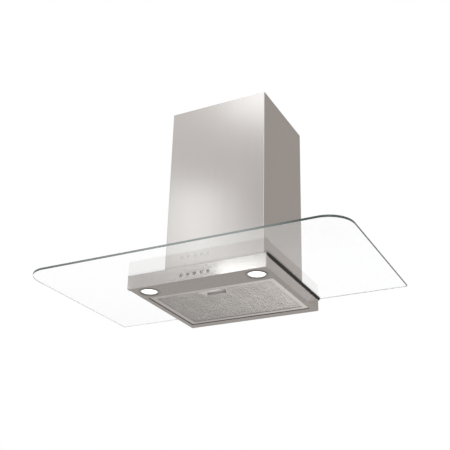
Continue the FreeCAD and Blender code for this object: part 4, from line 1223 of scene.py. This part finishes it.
@dataclass
class SteelBody:
    """The slim body under the pane: folded casing, front panel and the tray that holds the lamps."""

    half: float = 200.0
    front: float = 363.0
    back: float = 10.0
    bottom: float = -38.0
    top: float = -4.4
    sheet: float = 1.0
    fold: float = 2.0
    opening_half: float = 184.0
    opening_front: float = 284.0
    opening_back: float = 38.0
    intake: tuple[float, float, float, float] = (-112.0, 112.0, -230.0, -16.0)
    screws: tuple[Pair, ...] = ((-133, -215), (-133, -45), (133, -215), (133, -45))
    screw_hole: float = 2.7
    front_hem: float = 1.5
    plate_edge: float = 0.25
    lip_back: float = 62.0
    lip_top: float = -30.0
    lip_edge: float = 0.3
    panel_half: float = 201.0
    panel_front: float = 364.0
    panel_fold: float = 1.4
    panel_corner: float = 1.0
    panel_return: float = 350.0
    button_pitch: float = 19.4
    button_height: float = -23.5
    button_hole: float = 4.9
    button_count: int = 5
    tray_half: float = 198.4
    tray_front_high: float = 6.0
    tray_rear_top: float = -29.0
    tray_fold: float = 0.8
    lamp: Pair = (157.0, -323.0)
    lamp_hole: float = 27.9
    upright: bpy.types.Material = field(init=False)
    # level: the same brushed steel at about half its colour, a painted shade for faces that look down
    level: bpy.types.Material = field(init=False)

    def __post_init__(self) -> None:
        """Builds the two directions of brushing that the body's sheets share; the underside's is about half as bright,
        a painted shade.
        """
        self.upright = BrushedSteel("brushed steel, brushed along", Grain.LONG, polish=(0.11, 0.18),
                                    stretch=0.75).build()
        # painted shade: the underside's steel darker than the upright sheets' (0.30 against 0.61)
        self.level = BrushedSteel("brushed steel, underside, painted shade", Grain.LEVEL, (0.30, 0.275, 0.255),
                                  (0.22, 0.3)).build()

    def skirt(self) -> list[Shell]:
        """Both sides and the back with their folded rim. The profile runs down the outside, round the fold,
        in along the rim and back inside. At side inset i it stands at x = half - i. In front of the filter
        the rim is only a hem, and at the back it is wider.

        Returns:
            The surfaces.
        """
        turn = np.linspace(0, math.pi / 2, 5)
        inner = self.fold - self.sheet
        rim_wide = self.half - self.opening_half
        depth = np.concatenate([[0.0], self.fold * (1 - np.cos(turn)), [rim_wide, rim_wide],
                                self.fold - inner * np.sin(turn), [self.sheet]])
        height = np.concatenate([[self.top - self.sheet], self.bottom + self.fold - self.fold * np.sin(turn),
                                 [self.bottom, self.bottom + self.sheet],
                                 self.bottom + self.fold - inner * np.cos(turn), [self.top - self.sheet]])
        narrow = np.minimum(depth, self.front_hem)
        wide_back = self.opening_back - self.back
        behind = np.where(depth > self.fold, self.fold + (depth - self.fold)
                          * (wide_back - self.fold) / (rim_wide - self.fold), depth)
        bend = np.maximum(self.fold - depth, 0.0)
        angle = np.linspace(0, math.pi / 2, 6)
        x, y = self.half - depth, -self.back - behind
        right = [(self.half - narrow, np.full_like(x, -self.front)),
                 (self.half - narrow, np.full_like(x, -self.opening_front)),
                 (x, np.full_like(x, -self.opening_front))]
        right += [(x - bend * (1 - math.cos(a)), y - bend * (1 - math.sin(a))) for a in angle]
        folded, *ends = lofted(right + [(-sx, sy) for sx, sy in reversed(right)], height)
        quads = folded.faces[0].reshape(-1, len(depth), 4)
        # the faces that look down take material 1, the darker steel that paints their shade
        underside = slice(3, 7)     # the profile's faces that look down
        return [Shell(folded.points, [np.delete(quads, underside, axis=1).reshape(-1, 4)]),
                Shell(folded.points, [quads[:, underside].reshape(-1, 4)], 1)] + ends

    def make_casing(self) -> None:
        """The casing: skirt, top plate with the air intake, and the two lips beside the filter."""
        shells = self.skirt()
        outline = rectangle(-self.half, self.half, -self.front, -self.back, self.fold)
        holes = [rectangle(*self.intake)] + [circle(x, y, self.screw_hole, 24) for x, y in self.screws]
        top = plate(outline, holes, self.top - self.sheet, self.top, self.plate_edge)
        # the top plate takes the darker steel, a painted shade
        shells += [shell.painted(1) for shell in top]
        inner = self.opening_half
        lip = plate(rectangle(inner, inner + self.sheet, -self.opening_front, -self.lip_back), [],
                    self.bottom + self.sheet, self.lip_top, self.lip_edge)
        shells += lip + [shell.mirrored() for shell in lip]
        Part("body_casing_folded", shells, [self.upright, self.level], "brushed_steel", "hood",
             ("body_casing",)).make()

    def panel_outline(self, depth: float) -> np.ndarray:
        """The front panel's open outline at one inset: x = half - inset, z = -inset, rounded above.

        Args:
            depth: the inset.

        Returns:
            Array of (n, 2) points from the left foot over the top to the right foot.
        """
        angle = np.linspace(0, math.pi / 2, 5)
        x, bend = self.panel_half - depth, max(self.panel_corner - depth, 0.0)
        right = np.stack([x - bend * (1 - np.sin(angle)), -depth - bend * (1 - np.cos(angle))], axis=1)
        left = np.stack([-right[::-1, 0], right[::-1, 1]], axis=1)
        return np.vstack([[(-x, self.bottom)], left, right, [(x, self.bottom)]])

    def make_front_panel(self) -> None:
        """The front panel: a face with five button holes whose left, top and right edges are rolled back
        into returns. Its profile of (inset, y) runs from the face round the roll to the rounded hem at the
        return's end and back inside."""
        turn = np.linspace(0, math.pi / 2, 6)
        fold, face, inside = self.panel_fold, -self.panel_front, -self.panel_front + self.sheet
        roll = np.stack([fold * (1 - np.sin(turn)), face + fold * (1 - np.cos(turn))], axis=1)
        end = -self.panel_return
        hem = np.array([(0.0, end - 0.35), (0.12, end - 0.08), (0.35, end), (0.65, end), (0.88, end - 0.08),
                        (1.0, end - 0.35), (1.0, inside + 0.4), (fold, inside)])
        profile = np.vstack([roll, hem])
        rows = np.stack([raised(self.panel_outline(depth), y) for depth, y in profile])
        middle = self.button_count // 2
        holes = [circle((k - middle) * self.button_pitch, self.button_height, self.button_hole, 40)[::-1]
                 for k in range(self.button_count)]
        flat = self.panel_outline(fold)
        soft = [(0.3, face), (0.09, face + 0.09), (0.0, face + 0.3), (0.0, inside)]    # a hole's edge
        shells = [grid(rows)]
        shells += [rim(hole, soft) for hole in holes]
        shells.append(flat_face([flat] + [inset(hole, soft[0][0]) for hole in holes], face))
        shells.append(flat_face([flat] + holes, inside))
        feet = rows[:, [0, -1]]
        shells.append(Shell(np.vstack([feet[0], feet[-1]]), [np.array([[0, 1, 3, 2]])]))
        for side in (0, 1):
            shells.append(Shell(feet[:, side], [triangles([profile])]))
        shells = [shell.swapped((0, 2, 1)) for shell in shells]
        Part("front_panel_rolled", shells, [self.upright], "brushed_steel", "hood", ("fascia",)).make()

    def make_lamp_tray(self) -> None:
        """The lamp tray: a profile of (y, z) with two upturned lips carried along x, whose level run has the
        lamp holes."""
        turn = np.linspace(0, math.pi / 2, 5)
        low, high = self.bottom, self.bottom + self.sheet
        front, rear, top = -self.front, -self.opening_front, self.tray_rear_top
        lip_top, bend = low + self.tray_front_high, self.tray_fold
        fold = np.stack([rear - bend + bend * np.sin(turn), low + bend * (1 - np.cos(turn))], axis=1)
        lower = np.vstack([[(front, lip_top), (front, low)], fold,
                           [(rear, top), (rear - self.sheet, top), (rear - self.sheet, high)]])
        upper = np.array([(front + self.sheet, high), (front + self.sheet, lip_top)])
        profile = np.vstack([lower, upper])
        ends = (-self.tray_half, self.tray_half)
        holes = [circle(side * self.lamp[0], self.lamp[1], self.lamp_hole, 72)[::-1] for side in (-1, 1)]
        under = rectangle(*ends, front, fold[0, 0])
        over = rectangle(*ends, front + self.sheet, rear - self.sheet)
        shells = [grid(np.stack([across(line, x) for x in ends]))
                  for line in (lower[:2], lower[2:], np.vstack([upper, lower[:1]]))]
        shells += [flat_face([under] + holes, low), flat_face([over] + holes, high)]
        shells += [rim(hole, [(0.0, low), (0.0, high)]) for hole in holes]
        shells += [Shell(across(profile, x), [triangles([profile])]) for x in ends]
        # the tray takes the darker steel, a painted shade
        Part("lamp_tray", shells, [self.level], "brushed_steel", "hood", ("lamp_panel",)).make()


class Mark(Enum):
    """What a button's face carries: a dark spot in its middle, or a ring."""

    SPOT = "spot"
    RING = "ring"


@dataclass
class PushButtons:
    """Five round push buttons in the front panel."""

    pitch: float = 19.4
    height: float = -23.5
    face: float = -365.2
    round: int = 40
    marks: tuple[Mark, ...] = (Mark.SPOT, Mark.RING, Mark.RING, Mark.SPOT, Mark.SPOT)

    def profile(self, mark: Mark) -> tuple[list[Pair], int, int]:
        """A cap's profile from the middle of its face to the end of its stem.

        Args:
            mark: what its face carries.

        Returns:
            (radius, y) pairs, and the first and last of the rows that are dark.
        """
        f = self.face
        body = [(4.0, f), (4.27, f + 0.08), (4.44, f + 0.26), (4.5, f + 0.5), (4.5, f + 2.6), (5.5, f + 2.6),
                (5.5, f + 3.8), (2.4, f + 3.8), (2.4, f + 11.4), (0.0, f + 11.4)]
        if mark is Mark.SPOT:
            middle = [(0.0, f + 0.42), (1.1, f + 0.36), (1.75, f + 0.12), (2.0, f)]
            return middle + body, 0, 3
        ring = [(0.0, f), (1.3, f), (1.5, f + 0.22), (2.3, f + 0.22), (2.5, f)]
        return ring + body, 1, 4

    def make(self) -> None:
        """One piece for each button, on its own body."""
        cap = SmoothMetal("satin button", (0.55, 0.54, 0.52), gloss=(0.28, 0.4), texture=1500.0).build()
        dark = CastSurface("dark button mark", (0.10, 0.10, 0.10), gloss=(0.35, 0.5)).build()
        middle = len(self.marks) // 2
        for k, mark in enumerate(self.marks):
            profile, first, last = self.profile(mark)
            rows = turned(profile, ((k - middle) * self.pitch, 0.0, self.height), Axis.Y, self.round)
            quads = rows.faces[0].reshape(len(profile) - 1, self.round, 4)
            marked = quads[first:last].reshape(-1, 4)
            plain = np.concatenate([quads[:first], quads[last:]]).reshape(-1, 4)
            shells = [Shell(rows.points, [plain]), Shell(rows.points, [marked], 1)]
            Part(f"push_button_{k + 1}", shells, [cap, dark], "button_metal", f"button_{k + 1}",
                 (f"button_{k + 1}",), 50.0).make()


@dataclass
class RoundLamps:
    """Two round lamps: trim ring and frosted lens."""

    place: Pair = (157.0, -323.0)
    bottom: float = -38.0
    lens_radius: float = 23.4
    lens_level: float = 2.58
    lens_dish: float = 0.62
    ripple: float = 0.05
    ripple_turns: float = 2.6
    ripple_from: float = 2.0

    def make(self) -> None:
        """Ring and lens, left and right. The lens bulges down in its middle: its height grows with the square
        of the radius, plus a cosine for its fine rings."""
        trim = SmoothMetal("satin nickel ring", (0.24, 0.235, 0.23), (0.22, 0.34), texture=1200.0).build()
        lens_glass = GlowingLens().build()
        z = self.bottom
        ring = [(24.4, z - 0.8), (24.6, z - 1.15), (25.1, z - 1.4), (27.6, z - 1.4), (28.7, z - 1.2),
                (29.3, z - 0.8), (29.5, z - 0.3), (29.5, z), (27.8, z), (27.8, z + 12), (26.3, z + 12),
                (26.3, z + 2.6), (23.6, z + 2.6), (23.6, z + 1.8), (24.2, z + 0.6)]
        radius = np.linspace(0.0, self.lens_radius, 40)
        ripple = self.ripple * np.cos(radius * self.ripple_turns) * (radius > self.ripple_from)
        dome = z + self.lens_level - self.lens_dish * (1 - (radius / self.lens_radius) ** 2) + ripple
        lens = np.column_stack([radius, dome]).tolist() + [(24.6, z + 2.6), (24.6, z + 4.2), (0.0, z + 4.2)]
        for side, name in ((-1, "left"), (1, "right")):
            centre = (side * self.place[0], self.place[1], 0.0)
            Part(f"lamp_ring_{name}", [turned(ring, centre, count=96)], [trim], "lamp_trim", "hood",
                 (f"lamp_bezel_{name}",)).make()
            Part(f"lamp_glass_{name}", [turned(lens, centre, count=96)], [lens_glass], "lamp_glass",
                 "hood", (f"lamp_lens_{name}",), 50.0).make()


@dataclass
class GreaseFilter:
    """The grease filter: rolled channel frame, expanded mesh, finger recess and the latch's springs."""

    half: float = 182.5
    front: float = 282.5
    back: float = 39.5
    low: float = -36.5
    high: float = -27.5
    border: float = 14.0
    corner: float = 3.0
    slot_half: float = 12.4
    slot_low: float = -32.4
    slot_high: float = -29.8
    mesh_inset: float = 2.2
    latch_half: float = 26.0
    latch_gap: float = 4.0
    cup_corner: float = 4.0
    cup_overlap: float = 0.8
    strand_pitch: float = 6.4
    strand_gap: float = 3.0
    strand_wide: float = 1.8
    strand_thick: float = 0.4
    strand_level: float = 1.05
    strand_tilt: float = 0.1
    cup_front: float = 270.0
    cup_back: float = 234.5
    cup_front_half: float = 43.0
    cup_back_half: float = 30.5
    spring_x: float = 21.0
    spring_radius: float = 1.0
    spring_wire: float = 0.3
    spring_turns: int = 9
    spring_ends: Pair = (-261.7, -236.8)
    spring_height: float = -31.1
    latch_travel: float = 6.0

    def frame_profile(self) -> np.ndarray:
        """The channel's closed section: rounded outside, with a hem along the end of each flange.

        Returns:
            Array of (inset, height) points.
        """
        b, low, high = self.border, self.low, self.high
        turn = np.linspace(0, math.pi / 2, 5)
        outer = 1.2
        lower = np.stack([outer * (1 - np.cos(turn)), low + outer * (1 - np.sin(turn))], axis=1)
        hem = np.linspace(-math.pi / 2, math.pi / 2, 7)
        lower_hem = np.stack([b - 0.5 + 0.5 * np.cos(hem), low + 0.5 + 0.5 * np.sin(hem)], axis=1)
        bottom_half = np.vstack([lower, lower_hem, [(1.0, low + 1.0)]])
        top_half = np.stack([bottom_half[::-1, 0], low + high - bottom_half[::-1, 1]], axis=1)
        return np.vstack([bottom_half, top_half])

    def frame_round(self, depth: float) -> np.ndarray:
        """The frame's outline at one inset, open across the latch's slot.

        Args:
            depth: the inset.

        Returns:
            Array of (n, 2) points from the slot's right end round to its left.
        """
        x, y0, y1 = self.half - depth, -self.front + depth, -self.back - depth
        radius = max(self.corner - depth, 0.02)
        return rounded_path([(self.slot_half, y0, 0), (x, y0, radius), (x, y1, radius), (-x, y1, radius),
                             (-x, y0, radius), (-self.slot_half, y0, 0)], closed=False, steps=6)

    def make_frame(self) -> None:
        """The frame: the channel carried round, and its two flanges carried on across the latch's slot. A
        flange's section starts at the slot's edge, turns into the flange, goes round its hem and back."""
        profile = self.frame_profile()
        rounds = np.stack([raised(self.frame_round(depth), height) for depth, height in profile], axis=1)
        shells = carried(rounds, False)
        low, high, b = self.low, self.high, self.border
        ends = (-self.slot_half - 0.02, self.slot_half + 0.02)
        for z0, z1, step in ((low, self.slot_low, 1.0), (high, self.slot_high, -1.0)):
            line = np.array([(0.0, z1), (0.0, z0 + 0.6 * step), (0.18, z0 + 0.18 * step), (0.6, z0),
                             (b - 0.5, z0), (b - 0.1, z0 + 0.15 * step), (b, z0 + 0.5 * step),
                             (b - 0.1, z0 + 0.85 * step), (b - 0.5, z0 + step), (1.0, z0 + step), (1.0, z1)])
            line[:, 0] -= self.front
            shells += carried(np.stack([across(line, x) for x in ends]), False)
        satin = SmoothMetal("satin aluminium frame", (0.36, 0.338, 0.325), gloss=(0.36, 0.48), metal=0.45,
                            texture=900.0, mottle=0.03).build()
        Part("filter_channel_frame", shells, [satin], "filter_aluminium", "grease_filter",
             ("filter_frame",)).make()

    def cup_outline(self) -> np.ndarray:
        """The recess's outline, wide at the front and narrower behind.

        Returns:
            Array of (n, 2) points.
        """
        x0, x1, radius = self.cup_front_half, self.cup_back_half, self.cup_corner
        return rounded_path([(-x0, -self.cup_front, radius), (x0, -self.cup_front, radius),
                             (x1, -self.cup_back, radius), (-x1, -self.cup_back, radius)])

    def strand_points(self, level: float) -> np.ndarray:
        """Expanded mesh: each strand is a ribbon along x that swings from side to side like a triangle wave
        against its neighbours, so that they meet at the knots.

        Args:
            level: height of the mesh's middle.

        Returns:
            Array of (strands, stations, 4, 3): the four corners of each ribbon's section along its run.
        """
        reach, edge = self.half - self.mesh_inset, self.mesh_inset
        y_values = np.arange(-self.front + edge + self.strand_gap / 2, -self.back - edge, self.strand_gap)
        steps = int(2 * reach / (self.strand_pitch / 4))
        x = np.linspace(-reach, reach, steps + 1)
        swing = np.abs(((x / self.strand_pitch) % 1.0) * 2 - 1) * 2 - 1
        flat_knot = np.clip(swing * 1.25, -1.0, 1.0)
        side = np.where(np.arange(len(y_values)) % 2 == 0, 1.0, -1.0)
        reach_over = self.strand_gap / 2 - self.strand_wide * 0.45
        centre = y_values[:, None] + side[:, None] * flat_knot * reach_over
        tilt = self.strand_tilt * np.sin(2 * math.pi * x / self.strand_pitch)[None, :] * side[:, None]
        w, t = self.strand_wide / 2, self.strand_thick / 2
        ring = np.array([(-w, -t * 0.4), (-w * 0.4, -t), (w, t * 0.4), (w * 0.4, t)])
        points = np.empty((*centre.shape, 4, 3))
        points[..., 0] = x[None, :, None]
        points[..., 1] = centre[..., None] + ring[:, 0]
        points[..., 2] = level + tilt[..., None] + ring[:, 1]
        return points

    def strands(self, level: float) -> Shell:
        """The strands' surface. Where a strand meets the recess or the latch it ends with a face of its own.

        Args:
            level: height of the mesh's middle.

        Returns:
            The surface.
        """
        points = self.strand_points(level)
        rows, columns = points.shape[:2]
        number = np.arange(rows * columns * 4).reshape(rows, columns, 4)
        after = np.roll(number, -1, axis=2)
        quads = np.stack([number[:, :-1], number[:, 1:], after[:, 1:], after[:, :-1]], axis=-1)
        latch = rectangle(-self.latch_half, self.latch_half, -self.front, -self.cup_front + self.latch_gap)
        flat = points[..., 0, :2].reshape(-1, 2)
        cup = inset(self.cup_outline(), self.cup_overlap)
        hidden = (within(flat, [cup]) | within(flat, [latch])).reshape(rows, columns)
        shown = ~(hidden[:, :-1] | hidden[:, 1:])
        kept = quads[shown].reshape(-1, 4)
        open_left = shown & ~np.pad(shown, ((0, 0), (1, 0)))[:, :-1]
        open_right = shown & ~np.pad(shown, ((0, 0), (0, 1)))[:, 1:]
        caps = np.concatenate([number[:, :-1][open_left], number[:, 1:][open_right][:, ::-1]])
        used, packed = np.unique(np.concatenate([kept, caps]), return_inverse=True)
        return Shell(points.reshape(-1, 3)[used], [packed.reshape(-1, 4)])

    def make_mesh(self) -> None:
        """The lower and upper layers of expanded mesh."""
        # painted shade: the strands darker than the pleated core behind them, holding the underside's shaded tone
        mesh_metal = SmoothMetal("expanded aluminium, darkened as painted shade", (0.30, 0.287, 0.273), gloss=(0.5, 0.65), metal=0.1,
                                 texture=500.0, mottle=0.03).build()
        for name, level, node in (("lower", self.low + self.strand_level, ("filter_mesh_sheets",)),
                                  ("upper", self.high - self.strand_level, ())):
            Part(f"filter_mesh_{name}", [self.strands(level)], [mesh_metal], "mesh_aluminium",
                 "grease_filter", node, 50.0).make()

    def make_handle(self) -> None:
        """The finger recess: a rim, a wall that falls in, and a floor with a soft corner. Its profile of
        (inset, height) runs from the floor's face over the rim and up the outside to its back."""
        outline = self.cup_outline()
        low, floor, top = self.low - 0.6, self.high - 2.0, self.high - 1.0
        profile = [(3.5, floor), (2.9, floor - 0.15), (2.5, floor - 0.6), (2.3, floor - 1.4),
                   (2.0, low + 0.5), (1.85, low + 0.15), (1.5, low), (0.5, low), (0.15, low + 0.15),
                   (0.0, low + 0.5), (0.0, top - 0.3), (0.1, top - 0.1), (0.3, top)]
        shells = [rim(outline, profile)]
        shells += [flat_face([inset(outline, depth)], height) for depth, height in (profile[0], profile[-1])]
        # painted shade: the recess's plastic at about 0.6 of the pale latch plastic of the same slot
        plastic = CastSurface("pale handle plastic, darkened as painted shade", (0.36, 0.345, 0.33), gloss=(0.4, 0.55), texture=1400.0,
                              mottle=0.03).build()
        Part("filter_finger_recess", shells, [plastic], "handle_plastic", "grease_filter",
             ("filter_handle",)).make()

    def make_springs(self) -> None:
        """The latch's two springs: a helix of fine wire about y with closed ends."""
        bright = SmoothMetal("spring wire", (0.6, 0.6, 0.6), gloss=(0.2, 0.3), texture=2500.0).build()
        turns = np.linspace(0, self.spring_turns, self.spring_turns * 20 + 1)
        share = turns / self.spring_turns
        along = self.spring_ends[0] + (self.spring_ends[1] - self.spring_ends[0]) * share
        angle = 2 * math.pi * turns
        for side, name in ((-1, "left"), (1, "right")):
            path = np.stack([side * self.spring_x + self.spring_radius * np.cos(angle), along,
                             self.spring_height + self.spring_radius * np.sin(angle)], axis=1)
            coil = Part(f"latch_spring_{name}", [tube(path, self.spring_wire, np.array([0.0, 1.0, 0.0]))],
                        [bright], "spring_steel", "grease_filter",
                        ("latch_springs",) if side < 0 else (), 60.0).make()
            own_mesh(coil)


@dataclass
class Chimney:
    """The chimney cover that stands on the pane."""

    half: float = 149.0
    front: float = 266.0
    back: float = 1.0
    low: float = 6.0
    high: float = 545.0
    sheet: float = 0.8
    fold: float = 1.6
    returned: float = 18.0
    edge: float = 0.18

    def make(self) -> None:
        """A sheet folded round three sides with narrow returns at the wall: the middle line of the sheet,
        moved half a thickness to each side, closed at both ends and carried up."""
        t, r = self.sheet / 2, self.fold - self.sheet / 2
        x, y0, y1 = self.half - t, -self.front + t, -self.back - t
        inner = self.half - self.returned
        line = rounded_path([(-inner, y1, 0), (-x, y1, r), (-x, y0, r),
                             (x, y0, r), (x, y1, r), (inner, y1, 0)], closed=False, steps=6)
        outline = np.vstack([beside(line, t), beside(line, -t)[::-1]])
        shells = plate(outline, [], self.low, self.high, self.edge, steps=2)
        steel = BrushedSteel("brushed steel, brushed upwards", Grain.TALL, polish=(0.19, 0.22),
                             stretch=0.35).build()
        Part("chimney_cover", shells, [steel], "brushed_steel", "hood", ("chimney_lower",)).make()


@dataclass
class InnerWorks:
    """The pieces behind the sheets, whose own shapes stay: each takes the finish of its slot."""

    plastics: dict[str, CastSurface] = field(default_factory=lambda: {
        "nylon": CastSurface("natural nylon", (0.80, 0.79, 0.75), gloss=(0.35, 0.5)),
        "dark_plastic": CastSurface("black moulding", (0.05, 0.05, 0.055), gloss=(0.4, 0.55)),
        "board_parts": CastSurface("relay moulding", (0.06, 0.10, 0.20), gloss=(0.35, 0.5)),
        "fan_plastic": CastSurface("wheel moulding", (0.12, 0.12, 0.13), gloss=(0.4, 0.55)),
        "capacitor_case": CastSurface("capacitor can", (0.75, 0.75, 0.73), gloss=(0.35, 0.5)),
        "flap_plastic": CastSurface("flap moulding", (0.72, 0.72, 0.70), gloss=(0.4, 0.55)),
        "lead_sleeve": CastSurface("lead sleeve", (0.08, 0.08, 0.08), gloss=(0.4, 0.55)),
        "handle_plastic": CastSurface("pale latch plastic", (0.60, 0.59, 0.57), gloss=(0.3, 0.45),
                                      texture=1400.0),
        "socket_ceramic": CastSurface("unglazed ceramic", (0.85, 0.83, 0.78), gloss=(0.6, 0.75))})
    metals: dict[str, CastSurface] = field(default_factory=lambda: {
        "zinc_screw": SmoothMetal("zinc plating", (0.62, 0.62, 0.60), gloss=(0.25, 0.4)),
        "reflector": SmoothMetal("pressed reflector", (0.80, 0.80, 0.80), gloss=(0.12, 0.2)),
        "motor_paint": CastSurface("motor paint", (0.16, 0.16, 0.17), gloss=(0.3, 0.45), coat=0.3),
        "shaft_steel": SmoothMetal("ground shaft", (0.60, 0.60, 0.61), gloss=(0.15, 0.25)),
        # painted light: the core behind the strands is lighter, so the shade between strands stays faint
        "mesh_aluminium": SmoothMetal("pleated aluminium, lightened as painted light", (0.50, 0.48, 0.46), gloss=(0.5, 0.65), metal=0.1)})

    def finishes(self) -> dict[str, bpy.types.Material]:
        """A finish for each slot whose nodes show with their own shape.

        Returns:
            The materials by slot.
        """
        made = {slot: finish.build() for slot, finish in {**self.plastics, **self.metals}.items()}
        made["galvanised"] = GalvanisedSheet().build()
        made["board"] = CircuitBoard().build()
        made["motor_iron"] = WoundIron().build()
        made["bulb_glass"] = ClearGlass("bulb glass", (0.95, 0.95, 0.95)).build()
        made["brushed_steel"] = BrushedSteel("brushed steel, inner cover", Grain.TALL, mapped=False).build()
        return made

    def dress(self) -> None:
        """Gives every node that still shows the finish of its slot."""
        made = self.finishes()
        slot_of = {part["node"]: part["material_slot"] for part in frame["record"]["subparts"]}
        for name, node in frame["nodes"].items():
            if node.hide_render:
                continue
            finish = made[slot_of[name]]
            if node.material_slots:
                for place in node.material_slots:
                    place.material = finish
            else:
                node.data.materials.append(finish)
            log.info("%s keeps its shape in %s", name, finish.name)


def main() -> None:
    """Builds the studio, then the hood's sub-assemblies from the pane inwards."""
    logging.basicConfig(level=logging.INFO, format="%(name)s: %(message)s")
    Studio().build()
    canopy = GlassCanopy()
    canopy.make_pane()
    canopy.make_seal()
    body = SteelBody()
    body.make_casing()
    body.make_front_panel()
    body.make_lamp_tray()
    PushButtons().make()
    RoundLamps().make()
    grease_filter = GreaseFilter()
    grease_filter.make_frame()
    grease_filter.make_mesh()
    grease_filter.make_handle()
    grease_filter.make_springs()
    Chimney().make()
    InnerWorks().dress()


if __name__ == "__main__":
    main()
